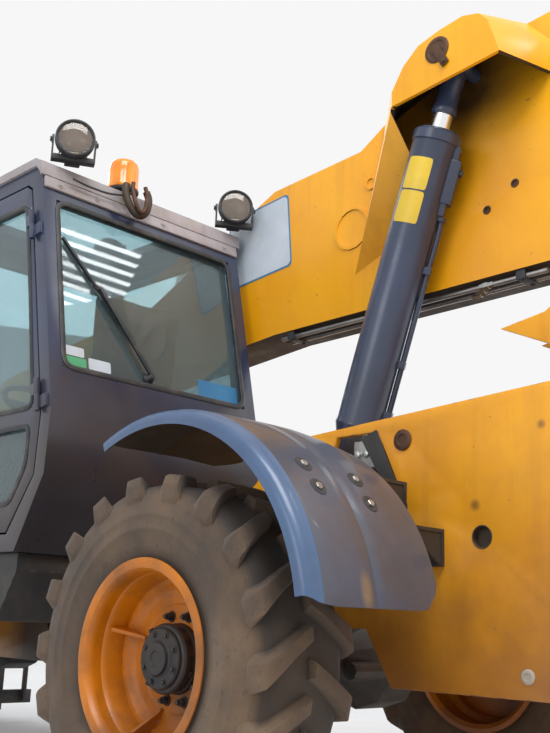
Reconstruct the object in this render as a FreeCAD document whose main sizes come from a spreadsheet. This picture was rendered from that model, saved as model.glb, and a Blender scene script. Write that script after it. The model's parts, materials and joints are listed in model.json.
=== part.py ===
import FreeCAD, Part
import Sketcher
import math
import os

# Telehandler with a side cab, a two-stage boom, all-wheel steering and pallet forks.
# Stations along x are measured from the rear axle, heights from the ground, +x forward, +y left.
# The boom pieces use their own frame at the boom pivot: u along the boom, v square to it.

doc = FreeCAD.newDocument("telehandler")
sheet = doc.addObject("Spreadsheet::Sheet", "Sizes")

# Driving dimensions: name, value in mm or degrees
DRIVING = [
    ("rear_axle_x", -1495), ("wheelbase", 2300), ("wheel_y", 830), ("kingpin_y", 700),
    ("seat_gap", 0.3), ("pin_gap", 0.05), ("nipple_radius", 7), ("nipple_length", 12),
    # tyre and rim
    ("tyre_radius", 520), ("tyre_width", 340), ("lug_depth", 32), ("lug_thick", 34), ("lug_pairs", 16),
    ("bead_radius", 254), ("flange_radius", 277), ("rim_width", 300), ("rim_wall", 10),
    ("dish_y", 0), ("disc_thick", 16), ("hub_radius", 98), ("hub_reach", 72), ("hub_flange", 130),
    # axles and knuckles
    ("axle_radius", 72), ("yoke_gap", 190), ("yoke_thick", 28), ("yoke_width", 120),
    ("kingpin_radius", 22), ("diff_radius", 165), ("tyre_facets", 22), ("rim_facets", 14),
    # chassis plates
    ("plate_thick", 24), ("left_plate_y", 274), ("plate_low", 450), ("plate_arch", 620),
    ("rear_end", -1185), ("plate_top_rear", 1345), ("plate_top_front", 1256), ("deck_top", 820),
    ("front_end", 2620), ("plate_hole", 32),
    # boom tower
    ("pivot_x", -1020), ("pivot_z", 2100), ("pivot_radius", 38), ("tower_thick", 22), ("tower_gap", 12),
    ("tower_round", 118),
    # outer boom
    ("boom_slope", 6), ("boom_y", -185), ("boom_width", 220), ("boom_wall", 12), ("boom_front", 3500),
    ("boom_low", -131), ("boom_high", 240), ("boom_deep_low", -233), ("boom_crown", 686),
    ("collar", 120),
    # inner boom
    ("inner_width", 176), ("inner_wall", 10), ("inner_depth", 340), ("inner_rear", 420),
    ("inner_front", 3640), ("neck_plate", 14),
    # lift hood and lift cylinder
    ("hood_y", 175), ("hood_wall", 14), ("hood_low", 446), ("lift_y", 50),
    ("lift_pin_u", 531), ("lift_pin_v", 574), ("lift_base_x", 73), ("lift_base_z", 1140),
    ("barrel_radius", 72), ("rod_radius", 32), ("eye_radius", 52),
    ("eye_width", 64), ("lift_pin_radius", 25),
    # carriage, forks and tilt cylinder
    ("head_u", 4225), ("head_v", -1265), ("head_pin", 30), ("tilt_base_u", 3900), ("tilt_base_v", -250),
    ("tilt_arm_x", 60), ("tilt_arm_z", 230), ("tilt_radius", 42), ("tilt_rod", 22), ("tilt_eye", 36), ("tilt_pin", 20),
    ("rail_spacing", 407), ("rail_height", 76), ("rail_thick", 40), ("carriage_width", 1100),
    ("carriage_reach", 175), ("fork_width", 100), ("fork_thick", 40), ("fork_length", 1000),
    ("fork_height", 60), ("fork_y", 330),
    # cab
    ("cab_left", 970), ("cab_right", -20), ("cab_post", 56), ("cab_rear_low", 590), ("cab_front", 1830),
    ("cab_lean", 205), ("cab_floor", 860), ("cab_sill", 1300), ("cab_eave", 2230), ("roof_top", 2300),
    ("roof_front", 1640), ("skirt_low", 600), ("glass_thick", 6), ("door_gap", 7), ("door_thick", 38),
    ("hinge_length", 60), ("hinge_radius", 10), ("hinge_out", 15),
    # fenders
    ("fender_radius", 622), ("fender_wall", 10), ("fender_x", -30), ("fender_z", 598),
    ("fender_out", 1000), ("fender_in", 450),
    # engine pod on the right
    ("pod_out", -975), ("pod_rear", 700), ("pod_front", 1560), ("pod_low", 560), ("pod_high", 1240),
    ("pod_wall", 20), ("hood_rise", 60),
]


class Size:
    """A number together with the sheet expression that gives it."""

    def __init__(self, number, text):
        self.number = float(number)
        self.text = text

    def __add__(self, other):
        other = size(other)
        return Size(self.number + other.number, f"({self.text} + {other.text})")

    def __sub__(self, other):
        other = size(other)
        return Size(self.number - other.number, f"({self.text} - {other.text})")

    def __mul__(self, other):
        other = size(other)
        return Size(self.number * other.number, f"({self.text} * {other.text})")

    def __truediv__(self, other):
        other = size(other)
        return Size(self.number / other.number, f"({self.text} / {other.text})")

    def __neg__(self):
        return Size(-self.number, f"(0 - {self.text})")

    __radd__ = __add__
    __rmul__ = __mul__

    def __rsub__(self, other):
        return size(other) - self


def size(value):
    if isinstance(value, Size):
        return value
    return Size(value, f"({value})")


def sine(angle):
    return Size(math.sin(math.radians(angle.number)), f"sin({angle.text})")


def cosine(angle):
    return Size(math.cos(math.radians(angle.number)), f"cos({angle.text})")


for row, (alias, number) in enumerate(DRIVING, 1):
    sheet.set(f"A{row}", alias)
    sheet.set(f"B{row}", str(number))
    sheet.setAlias(f"B{row}", alias)
doc.recompute()
S = {alias: Size(sheet.get(alias), f"Sizes.{alias}") for alias, number in DRIVING}

nodes = {}

# Flats of a pin or its hole, and the turns that lay an upright piece along an axis
PIN_SIDES = 12
TURNS = {"x": FreeCAD.Rotation(0, 90, 0), "y": FreeCAD.Rotation(0, 0, -90), "z": FreeCAD.Rotation()}


def node(label, piece):
    """Keeps a finished sub-part under the name of its file."""
    piece.Label = label
    nodes[label] = piece
    return piece


def place(piece, x=0, y=0, z=0, tilt=0, spin=0):
    """Sets a piece at a station, tilted nose down about y or turned about z."""
    x, y, z = S["rear_axle_x"] + x, size(y), size(z)
    angle, axis = (size(tilt), FreeCAD.Vector(0, 1, 0)) if not spin else (size(spin), FreeCAD.Vector(0, 0, 1))
    if angle.number < 0:
        angle, axis = -angle, -axis
    turn = FreeCAD.Rotation(axis, angle.number)
    piece.Placement = FreeCAD.Placement(FreeCAD.Vector(x.number, y.number, z.number), turn)
    piece.setExpression("Placement.Base.x", x.text)
    piece.setExpression("Placement.Base.y", y.text)
    piece.setExpression("Placement.Base.z", z.text)
    if angle.number:
        piece.setExpression("Placement.Rotation.Angle", angle.text)
    return piece


def body(name, **where):
    return place(doc.addObject("PartDesign::Body", name), **where)


def plane_of(piece, role):
    return [item for item in piece.Origin.OriginFeatures if item.Role == role][0]


def sketch(piece, plane, name, lift=None):
    """An empty sketch on an origin plane of the piece, raised along its normal where asked."""
    drawing = piece.newObject("Sketcher::SketchObject", name)
    drawing.AttachmentSupport = (plane_of(piece, plane + "_Plane"), [""])
    drawing.MapMode = "FlatFace"
    if lift is not None:
        lift = size(lift)
        drawing.AttachmentOffset = FreeCAD.Placement(FreeCAD.Vector(0, 0, lift.number), FreeCAD.Rotation())
        drawing.setExpression("AttachmentOffset.Base.z", lift.text)
    return drawing


def pin_point(drawing, edge, end, point):
    """Ties one end or centre of an edge to a pair of sheet sizes."""
    for kind, value in zip(("DistanceX", "DistanceY"), point):
        value = size(value)
        index = drawing.addConstraint(Sketcher.Constraint(kind, -1, 1, edge, end, value.number))
        drawing.setExpression(f"Constraints[{index}]", value.text)


def outline(drawing, points):
    """A closed outline of straight edges, each corner tied to the sheet."""
    corners = [FreeCAD.Vector(size(a).number, size(b).number, 0) for a, b in points]
    first = drawing.GeometryCount
    for here, there in zip(corners, corners[1:] + corners[:1]):
        drawing.addGeometry(Part.LineSegment(here, there), False)
    for step, point in enumerate(points):
        before = first + (step - 1) % len(points)
        drawing.addConstraint(Sketcher.Constraint("Coincident", before, 2, first + step, 1))
        pin_point(drawing, first + step, 1, point)


def circle(drawing, centre, radius):
    radius = size(radius)
    middle = FreeCAD.Vector(size(centre[0]).number, size(centre[1]).number, 0)
    edge = drawing.addGeometry(Part.Circle(middle, FreeCAD.Vector(0, 0, 1), radius.number), False)
    pin_point(drawing, edge, 3, centre)
    index = drawing.addConstraint(Sketcher.Constraint("Radius", edge, radius.number))
    drawing.setExpression(f"Constraints[{index}]", radius.text)


def draw(drawing, shapes):
    """Draws outlines, given as corner lists, and circles, given as (centre, radius)."""
    for shape in shapes:
        if len(shape) == 2 and not isinstance(shape[1], tuple):
            circle(drawing, *shape)
        else:
            outline(drawing, shape)


def pad(piece, plane, shapes, width, name="Pad", lift=None):
    """A pad of the shapes, even about the plane."""
    drawing = sketch(piece, plane, name + "Outline", lift)
    draw(drawing, shapes)
    feature = piece.newObject("PartDesign::Pad", name)
    feature.Profile = drawing
    feature.SideType = "Symmetric"
    width = size(width)
    feature.Length = width.number
    feature.setExpression("Length", width.text)
    doc.recompute()
    return feature


def pocket(piece, plane, shapes, width, name="Pocket", lift=None):
    """A pocket of the shapes, even about the plane."""
    before = piece.Shape.Volume
    drawing = sketch(piece, plane, name + "Outline", lift)
    draw(drawing, shapes)
    feature = piece.newObject("PartDesign::Pocket", name)
    feature.Profile = drawing
    feature.SideType = "Symmetric"
    width = size(width)
    feature.Length = width.number
    feature.setExpression("Length", width.text)
    doc.recompute()
    if piece.Shape.Volume >= before:
        raise ValueError(f"{name} of {piece.Label} cuts nothing")
    return feature


def ngon(centre, radius, sides=12, around=False):
    """Corners of a light stand-in for a circle, inside it or around it."""
    reach = size(radius) / math.cos(math.pi / sides) if around else size(radius)
    angles = [math.pi * (2 * index + 1) / sides for index in range(sides)]
    return [(centre[0] + reach * round(math.cos(angle), 6), centre[1] + reach * round(math.sin(angle), 6))
            for angle in angles]


def pin_hole(centre, radius):
    """A hole that a pin of this radius turns in."""
    return ngon(centre, radius + S["pin_gap"], around=True)


def faceted(name, profile, sides, along="y", start=0, finish=360):
    """A solid turned in flat facets about an axis, from rows of (radius, distance along it)."""
    rows = [(size(radius).number, size(at).number) for radius, at in profile]
    whole = finish - start == 360

    def corner(row, index):
        angle = math.radians(start + (finish - start) * index / sides)
        side, up = row[0] * math.sin(angle), row[0] * math.cos(angle)
        return {"x": FreeCAD.Vector(row[1], side, up), "y": FreeCAD.Vector(side, row[1], up),
                "z": FreeCAD.Vector(side, up, row[1])}[along]

    outlines = []
    for here, there in zip(rows, rows[1:] + rows[:1]):
        if whole and here[1] == there[1] and 0 in (here[0], there[0]):
            outlines.append([corner(max(here, there), index) for index in range(sides)])
        elif here[0] or there[0]:
            for index in range(sides):
                quad = [corner(here, index), corner(here, index + 1), corner(there, index + 1), corner(there, index)]
                outlines.append(quad[1:] if not here[0] else quad[:3] if not there[0] else quad)
    if not whole:
        outlines += [[corner(row, 0) for row in rows], [corner(row, sides) for row in rows]]
    return closed(name, outlines)


def closed(name, outlines):
    """A solid from the corner lists of its flat faces."""
    shell = Part.makeShell([Part.Face(Part.makePolygon(corners + corners[:1])) for corners in outlines])
    shell.sewShape()
    solid = Part.makeSolid(shell)
    if solid.Volume < 0:
        solid.reverse()
    piece = doc.addObject("Part::Feature", name)
    piece.Shape = solid
    return piece


def tapered(name, near, far, ends):
    """A solid between two side outlines at two distances along y, with as many corners each."""
    rings = [[FreeCAD.Vector(size(x).number, size(y).number, size(z).number) for x, z in outline]
             for outline, y in zip((near, far), ends)]
    outlines = [rings[0], rings[1]]
    for index in range(len(near)):
        after = (index + 1) % len(near)
        outlines.append([rings[0][index], rings[0][after], rings[1][after]])
        outlines.append([rings[0][index], rings[1][after], rings[1][index]])
    return closed(name, outlines)


def block(name, x, y, z):
    """A box between pairs of limits on each axis."""
    piece = doc.addObject("Part::Box", name)
    for axis, limits, side in (("x", x, "Length"), ("y", y, "Width"), ("z", z, "Height")):
        span = size(limits[1]) - size(limits[0])
        setattr(piece, side, span.number)
        piece.setExpression(side, span.text)
    return place(piece, x=x[0], y=y[0], z=z[0])


def rod(name, radius, start, length, axis="y", around=False):
    """A bar of light facets from a start point along an axis, or the hole around one."""
    piece = doc.addObject("Part::Prism", name)
    radius, length = size(radius), size(length)
    if around:
        radius = (radius + S["pin_gap"]) / math.cos(math.pi / PIN_SIDES)
    piece.Polygon = PIN_SIDES
    piece.Circumradius = radius.number
    piece.setExpression("Circumradius", radius.text)
    piece.Height = length.number
    piece.setExpression("Height", length.text)
    place(piece, x=start[0], y=start[1], z=start[2])
    piece.Placement.Rotation = TURNS[axis]
    return piece


def nipple(name, x, y, z, axis="y"):
    """A round grease nipple on a pin's end, on its axis."""
    piece = doc.addObject("Part::Cylinder", name)
    for side, value in (("Radius", S["nipple_radius"]), ("Height", S["nipple_length"])):
        setattr(piece, side, value.number)
        piece.setExpression(side, value.text)
    place(piece, x=x, y=y, z=z)
    piece.Placement.Rotation = TURNS[axis]
    return piece


def group(kind, name, pieces):
    """Joins, gathers or cuts document objects: Part::MultiFuse, Part::Compound or Part::Cut."""
    piece = doc.addObject(kind, name)
    if kind == "Part::Cut":
        piece.Base, piece.Tool = pieces
    elif kind == "Part::Compound":
        piece.Links = pieces
    else:
        piece.Shapes = pieces
        piece.Refine = False
    doc.recompute()
    return piece


def mirrored(name, source):
    """The same piece on the other side of the machine's centre plane."""
    piece = doc.addObject("Part::Mirroring", name)
    piece.Source = source
    piece.Normal = FreeCAD.Vector(0, 1, 0)
    doc.recompute()
    return piece


# Wheels: tyre, rim and hub, drawn once about the origin and set at four stations

def tyre_pattern():
    """A tyre with two rows of slanted lugs, on an open rim seat."""
    crown = S["tyre_radius"] - S["lug_depth"]
    half = S["tyre_width"] / 2
    seat = S["rim_width"] / 2 - S["seat_gap"]
    bead = (S["bead_radius"] + S["seat_gap"]) / math.cos(math.pi / S["tyre_facets"].number)
    side = [(bead, seat), (S["flange_radius"] + 4, seat), (bead + 96, half), (crown - 60, half),
            (crown, half - 30)]
    mirror = [(radius, -y) for radius, y in reversed(side)]
    carcass = place(faceted("tyre_carcass", side + mirror, int(S["tyre_facets"].number)))
    thick, shoulder = S["lug_thick"].number, half.number - 4
    top, root = S["tyre_radius"].number, crown.number - 12
    lugs = []
    for index in range(int(S["lug_pairs"].number)):
        for side_sign, shift in ((1, 0), (-1, 0.5)):
            angle = 360 * (index + shift) / S["lug_pairs"].number
            foot = [(-thick, root), (thick, root), (thick * 0.62, top), (-thick * 0.62, top)]
            wire = Part.makePolygon([FreeCAD.Vector(a, side_sign * 3, b) for a, b in foot + foot[:1]])
            bar = Part.Face(wire).extrude(FreeCAD.Vector(-thick * 2.1, side_sign * shoulder, -9))
            bar.rotate(FreeCAD.Vector(), FreeCAD.Vector(0, 1, 0), angle)
            lugs.append(bar)
    tread = doc.addObject("Part::Feature", "tyre_lugs")
    tread.Shape = Part.makeCompound(lugs)
    place(tread)
    return group("Part::MultiFuse", "tyre_pattern", [carcass, tread])


def rim_pattern():
    """A deep dished rim: flanges, drop centre and a disc with the hub bore."""
    half, wall = S["rim_width"] / 2, S["rim_wall"]
    seat, flange = S["bead_radius"], S["flange_radius"]
    disc = S["dish_y"]
    bore = S["hub_radius"] + S["seat_gap"] * 2
    inner = seat - wall
    shell = [(bore, disc), (bore, disc + S["disc_thick"]), (seat - 38, disc + S["disc_thick"]),
             (inner - 12, disc + 36), (inner - 12, half - 44), (inner, half + wall), (flange, half + wall),
             (flange, half), (seat, half), (seat, -half), (flange, -half), (flange, -half - wall),
             (inner, -half - wall), (inner, disc)]
    return place(faceted("rim_pattern", shell, int(S["rim_facets"].number)))


def hub_pattern():
    """A planetary hub: flange behind the disc, drum through its bore and a stepped cap."""
    disc, radius = S["dish_y"], S["hub_radius"]
    face = disc + S["disc_thick"] + S["hub_reach"]
    return place(faceted("hub_pattern", [
        (0, disc - 46), (S["hub_flange"] - 20, disc - 46), (S["hub_flange"], disc - S["seat_gap"]),
        (radius, disc - S["seat_gap"]), (radius, face - 18), (radius - 14, face), (46, face), (40, face + 14),
        (0, face + 14)], int(S["rim_facets"].number)))


def knuckle_pattern():
    """A steering knuckle between the yoke arms, with its trunnions and steering arm."""
    reach = S["wheel_y"] - S["kingpin_y"] + S["dish_y"] - 46 - S["seat_gap"]
    half = S["yoke_gap"] / 2 - S["seat_gap"]
    housing = place(faceted("knuckle_housing", [(0, -56), (60, -56), (half, -20), (half, reach - 16),
                                                (half - 16, reach), (0, reach)], 8))
    length = S["yoke_gap"] + S["yoke_thick"] * 2 + 12
    trunnions = rod("trunnions", S["kingpin_radius"], (0, 0, -length / 2), length, "z")
    arm = block("steering_arm", (-185, -60), (-36, -6), (-18, 18))
    return group("Part::MultiFuse", "knuckle_pattern", [housing, trunnions, arm])


def spun(name, source, x, y, spin=0):
    """A copy of a pattern at a wheel station."""
    copy = group("Part::Compound", name, [source])
    place(copy, x=x - S["rear_axle_x"], y=y, z=S["tyre_radius"])
    return copy


patterns = {"tyre": tyre_pattern(), "rim": rim_pattern(), "hub": hub_pattern(), "knuckle": knuckle_pattern()}
for end, axle_x in (("rear", size(0)), ("front", S["wheelbase"])):
    for part_name, source in patterns.items():
        out = S["kingpin_y"] if part_name == "knuckle" else S["wheel_y"]
        left = spun(f"{part_name}_{end}_left", source, axle_x, out)
        node(f"{part_name}_{end}_left", left)
        node(f"{part_name}_{end}_right", mirrored(f"{part_name}_{end}_right", left))


# Axles

def axle(end, axle_x):
    """A steering drive axle: tapered beam, differential housing, pads to the frame and end yokes."""
    height = S["tyre_radius"]
    yoke_in = S["kingpin_y"] - 118
    ring = S["axle_radius"]
    beam = faceted(f"{end}_beam", [
        (0, -yoke_in), (ring, -yoke_in), (ring, -210), (S["diff_radius"], -95), (S["diff_radius"], 55),
        (ring, 190), (ring, yoke_in), (0, yoke_in)], 10)
    place(beam, x=axle_x, z=height)
    pieces = [beam]
    inner, outer = S["yoke_gap"] / 2, S["yoke_gap"] / 2 + S["yoke_thick"]
    wide = S["yoke_width"] / 2
    for side_name, sign in (("left", 1), ("right", -1)):
        yoke = body(f"{end}_yoke_{side_name}", x=axle_x, z=height)
        tip, root = S["kingpin_y"] + 42, S["kingpin_y"] - 118
        shape = [(root * sign, -outer), (tip * sign, -outer), (tip * sign, -inner),
                 ((root + 34) * sign, -inner), ((root + 34) * sign, inner), (tip * sign, inner),
                 (tip * sign, outer), (root * sign, outer)]
        pad(yoke, "YZ", [shape], wide * 2)
        pocket(yoke, "XY", [pin_hole((0, S["kingpin_y"] * sign), S["kingpin_radius"])], 400)
        pieces.append(yoke)
    pads = [("left", S["left_plate_y"]), ("right", right_plate_y())]
    for side_name, plate_y in pads:
        pieces.append(block(f"{end}_pad_{side_name}", (axle_x - 95, axle_x + 95), (plate_y - 34, plate_y + 34),
                            (height + 30, S["plate_arch"] - S["seat_gap"])))
    ram = [(0, -230), (30, -230), (30, 230), (0, 230)]
    pieces.append(place(faceted(f"{end}_steer_ram", ram, 8), x=axle_x - 120, z=height - 34))
    pieces.append(block(f"{end}_steer_mount", (axle_x - 140, axle_x - 40), (-60, 60), (height - 60, height - 10)))
    return group("Part::MultiFuse", f"{end}_axle", pieces)


def right_plate_y():
    """The right plate stands just outside the right tower plate."""
    outside = S["boom_y"] - S["boom_width"] / 2 - S["tower_gap"] - S["tower_thick"]
    return outside - S["seat_gap"] - S["plate_thick"] / 2


def tower_y(sign):
    return S["boom_y"] + sign * (S["boom_width"] / 2 + S["tower_gap"] + S["tower_thick"] / 2)


for end, axle_x in (("rear", size(0)), ("front", S["wheelbase"])):
    node(f"{end}_axle", axle(end, axle_x))


# Chassis plates, cross members and tower

def plate_outline():
    """Side outline of a frame plate, arched over both axles."""
    low, arch = S["plate_low"], S["plate_arch"]
    wheelbase, front = S["wheelbase"], S["front_end"]
    return [(S["rear_end"], low + 60), (S["rear_end"] + 70, low), (-330, low), (-230, arch), (230, arch),
            (330, low - 20), (wheelbase - 330, low - 20), (wheelbase - 230, arch), (wheelbase + 230, arch),
            (front - 60, arch - 60), (front, arch), (front, S["deck_top"] - 60), (front - 60, S["deck_top"]),
            (560, S["deck_top"]), (420, 1000), (200, 1180), (140, S["plate_top_front"] - 6),
            (40, S["plate_top_front"]), (S["rear_end"], S["plate_top_rear"])]


def chassis_plate(side_name, plate_y):
    plate = body(f"chassis_plate_{side_name}", y=plate_y)
    pad(plate, "XZ", [plate_outline()], S["plate_thick"])
    if side_name == "left":
        window = [(-95, 1238), (-270, 1240), (-385, 1000), (-330, 900), (-120, 900), (-60, 1120)]
        holes = [ngon((-660, 891), S["plate_hole"]), ngon((-373, 1203), 26), ngon((450, 620), 45),
                 ngon((1500, 620), 60)]
        pocket(plate, "XZ", [window] + holes, S["plate_thick"] * 2, "Openings")
    return plate


def boom_tower():
    """Two plates that carry the boom pivot, with a nose that the boom rests over, and their webs."""
    pivot_x, pivot_z, crown = S["pivot_x"], S["pivot_z"], S["tower_round"]
    rear = S["rear_end"]
    shape = [(rear, 700), (-560, 700), (-620, 1180), (-900, 1350), (-870, 1470), (-700, 1541), (-530, 1618),
             (-700, 1648), (-850, 1750), (pivot_x + crown, pivot_z - 60), (pivot_x + crown, pivot_z + 40),
             (pivot_x + crown * 0.55, pivot_z + crown * 0.85), (pivot_x - crown * 0.4, pivot_z + crown * 0.85),
             (pivot_x - crown, pivot_z + 30), (pivot_x - crown - 20, pivot_z - 120), (rear, 1560)]
    pieces = []
    for side_name, sign in (("left", 1), ("right", -1)):
        plate = body(f"tower_{side_name}", y=tower_y(sign))
        pad(plate, "XZ", [shape], S["tower_thick"])
        pocket(plate, "XZ", [pin_hole((pivot_x, pivot_z), S["pivot_radius"])], S["tower_thick"] * 2, "Bore")
        pieces.append(plate)
    inside = (right_plate_y() + S["plate_thick"] / 2 + S["seat_gap"], S["left_plate_y"] - S["plate_thick"] / 2)
    for web_name, x, z in (("deck", (S["rear_end"] + 8, -900), (1290, 1312)),
                           ("bulkhead", (-720, -698), (480, 1150)),
                           ("floor", (S["rear_end"] + 80, -698), (480, 500)),
                           ("back", (S["rear_end"] + 8, S["rear_end"] + 28), (560, 1300))):
        pieces.append(block(f"tower_{web_name}", x, inside, z))
    return group("Part::MultiFuse", "boom_tower", pieces)


def cross_members():
    """Box members between the two plates, and the fork that carries the lift cylinder's foot."""
    inside = (right_plate_y() + S["plate_thick"] / 2, S["left_plate_y"] - S["plate_thick"] / 2)
    beams = [block(f"member_{index}", x, inside, z) for index, (x, z) in enumerate([
        ((S["front_end"] - 150, S["front_end"] - 20), (640, 800)), ((1560, 1640), (470, 800)),
        ((700, 780), (470, 800))])]
    foot_x, foot_z = S["lift_base_x"], S["lift_base_z"]
    half = S["eye_width"] / 2
    fork = [block("lift_beam", (foot_x - 110, foot_x + 110), inside, (foot_z - 260, foot_z - 190))]
    for side_name, sign in (("left", 1), ("right", -1)):
        cheek = body(f"lift_cheek_{side_name}", y=S["lift_y"] + sign * (half + 2 + 11))
        pad(cheek, "XZ", [[(foot_x - 100, foot_z - 200), (foot_x + 100, foot_z - 200), (foot_x + 58, foot_z + 20),
                           (foot_x + 24, foot_z + 56), (foot_x - 24, foot_z + 56), (foot_x - 58, foot_z + 20)]], 22)
        pocket(cheek, "XZ", [pin_hole((foot_x, foot_z), S["lift_pin_radius"])], 60, "Bore")
        fork.append(cheek)
    mount = group("Part::MultiFuse", "lift_foot_mount", fork)
    return group("Part::Compound", "chassis_cross_members", beams), mount


def counterweight():
    """The cast weight across the tail, with rounded corners and a towing jaw."""
    rear, half = S["rear_end"] - S["seat_gap"], 590
    weight = body("rear_counterweight", z=690)
    pad(weight, "XY", [[(rear, -half), (rear, half), (rear - 30, half), (rear - 90, half - 110),
                        (rear - 90, 110 - half), (rear - 30, -half)]], 420)
    pocket(weight, "XZ", [[(rear - 200, -150), (rear - 40, -150), (rear - 40, -70), (rear - 200, -70)]], 160, "Jaw")
    pocket(weight, "XY", [((rear - 66, 0), 16)], 600, "TowPinHole")
    return weight


node("chassis_plate_left", chassis_plate("left", S["left_plate_y"]))
node("chassis_plate_right", chassis_plate("right", right_plate_y()))
node("boom_tower", boom_tower())
members, lift_mount = cross_members()
node("chassis_cross_members", members)
node("lift_foot_mount", lift_mount)
node("rear_counterweight", counterweight())


# Fenders over the four wheels, each on two arms from the frame

# Angles from straight up, forwards positive, where a fender starts and ends
FENDER_ANGLES, FENDER_STEPS = (28, -83), 8


def fender_pattern():
    """A moulded fender: a round top band with an outer lip and a crowned middle."""
    radius, wall = S["fender_radius"].number, S["fender_wall"].number
    outer, inner = S["fender_out"].number, S["fender_in"].number
    section = [(outer, -46), (outer, -14), (outer - 30, 0), (outer - 170, 8), (inner + 190, 8), (inner, -16)]
    below = [(y, rise - wall) for y, rise in reversed(section[2:])]
    lip = [(outer - wall, -14 - wall * 0.4), (outer - wall, -46)]
    rows = [(radius + rise, y) for y, rise in section + below + lip]
    fender = faceted("fender_pattern", rows, FENDER_STEPS, start=FENDER_ANGLES[0], finish=FENDER_ANGLES[1])
    return place(fender, x=S["fender_x"], z=S["fender_z"])


def fender_underside(x):
    """Height of the fender's inner edge over a distance from its centre line."""
    radius = S["fender_radius"].number - 16 - S["fender_wall"].number
    span = FENDER_ANGLES[1] - FENDER_ANGLES[0]
    angles = [math.radians(FENDER_ANGLES[0] + span * step / FENDER_STEPS) for step in range(FENDER_STEPS + 1)]
    for here, there in zip(angles, angles[1:]):
        left, right = radius * math.sin(here), radius * math.sin(there)
        if right <= x <= left:
            share = (x - right) / (left - right)
            return radius * (math.cos(there) + share * (math.cos(here) - math.cos(there)))
    raise ValueError("no fender over this place")


fender_source = fender_pattern()
for end, axle_x in (("rear", size(0)), ("front", S["wheelbase"])):
    left = group("Part::Compound", f"fender_{end}_left", [fender_source])
    place(left, x=axle_x - S["rear_axle_x"])
    node(f"fender_{end}_left", left)
    node(f"fender_{end}_right", mirrored(f"fender_{end}_right", left))


def fender_arms():
    """Two L-shaped arms for each fender, bolted to the plates and reaching under its crown."""
    arms = []
    for end, axle_x, drop in (("rear", size(0), 110), ("front", S["wheelbase"], 330)):
        for side_name, sign, plate_y in (("left", 1, S["left_plate_y"]), ("right", -1, right_plate_y())):
            for index, reach in enumerate((360, 500)):
                rise = min(fender_underside(-reach), fender_underside(60 - reach))
                top = S["fender_z"] + rise - S["seat_gap"]
                foot = plate_y + sign * (S["plate_thick"] / 2 + S["seat_gap"])
                arm = body(f"arm_{end}_{side_name}_{index}", x=axle_x + S["fender_x"] + 30 - reach)
                pad(arm, "YZ", [[(foot, top - drop), (foot, top), (sign * 700, top), (sign * 700, top - 12),
                                 (foot + sign * 12, top - 12), (foot + sign * 12, top - drop)]], 60)
                arms.append(arm)
    return group("Part::Compound", "fender_arms", arms)


node("fender_arms", fender_arms())


# Cab: shell, roof, panes, door, seat and controls

def cab_line(rise):
    """Station of the cab's leaning rear wall at a height above its foot."""
    return S["cab_rear_low"] + S["cab_lean"] * rise / (S["cab_eave"] - S["cab_sill"])


def cab_outline(inset):
    """Side outline of the cab, drawn in by an inset."""
    rear, front, sill, eave = S["cab_rear_low"], S["cab_front"], S["cab_sill"], S["cab_eave"]
    floor = S["cab_floor"]
    lean = S["cab_lean"]
    return [(rear + inset + 8, 1085), (rear + inset, sill), (rear + lean + inset, eave - inset * 0.8),
            (rear + lean + inset + 34, eave + 34 - inset), (S["roof_front"] - inset, eave + 34 - inset),
            (S["roof_front"] + 34 - inset, eave - inset * 0.8), (front - inset, sill + 20), (front - inset - 14, sill - 20 + inset * 0.4),
            (1610 - inset, 1190 + inset * 0.4), (1600 - inset, floor - 30 + inset), (740 + inset, floor - 30 + inset)]


def cab_shell():
    """The welded cab: two side frames with their openings, cross beams, floor and low walls."""
    post = S["cab_post"]
    middle = (S["cab_left"] + S["cab_right"]) / 2
    width = S["cab_left"] - S["cab_right"]
    shell = body("cab_shell", y=middle)
    pad(shell, "XZ", [cab_outline(0)], width)
    pocket(shell, "XZ", [cab_outline(post)], width - post * 2, "Room")
    pocket(shell, "XZ", [cab_outline(post + 2)], post * 3, "Doorway", lift=-width / 2)
    sill, eave, rear = S["cab_sill"], S["cab_eave"], S["cab_rear_low"]
    side_pane = [(cab_line(40) + post + 14, sill + 40), (cab_line(eave - sill - 40) + post + 14, eave - 40),
                 (S["roof_front"] - 40, eave - 40), (S["cab_front"] - post - 26, sill + 40)]
    pocket(shell, "XZ", [side_pane], post * 3, "RightWindow", lift=width / 2)
    half = width / 2 - post
    for pane_name, lift, low, high in (("Rear", rear, sill + 165, eave - 95),
                                       ("Front", S["cab_front"], sill + 30, eave - 60)):
        pocket(shell, "YZ", [[(-half, low), (half, low), (half, high), (-half, high)]],
               500, pane_name + "Window", lift=lift)
    pocket(shell, "XY", [[(950, 60 - half), (1500, 60 - half), (1500, half - 60), (950, half - 60)]], 260, "RoofWindow",
           lift=eave + 34)
    return group("Part::MultiFuse", "cab_frame", [shell] + hinge_barrels("post_barrel", -1))


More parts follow.
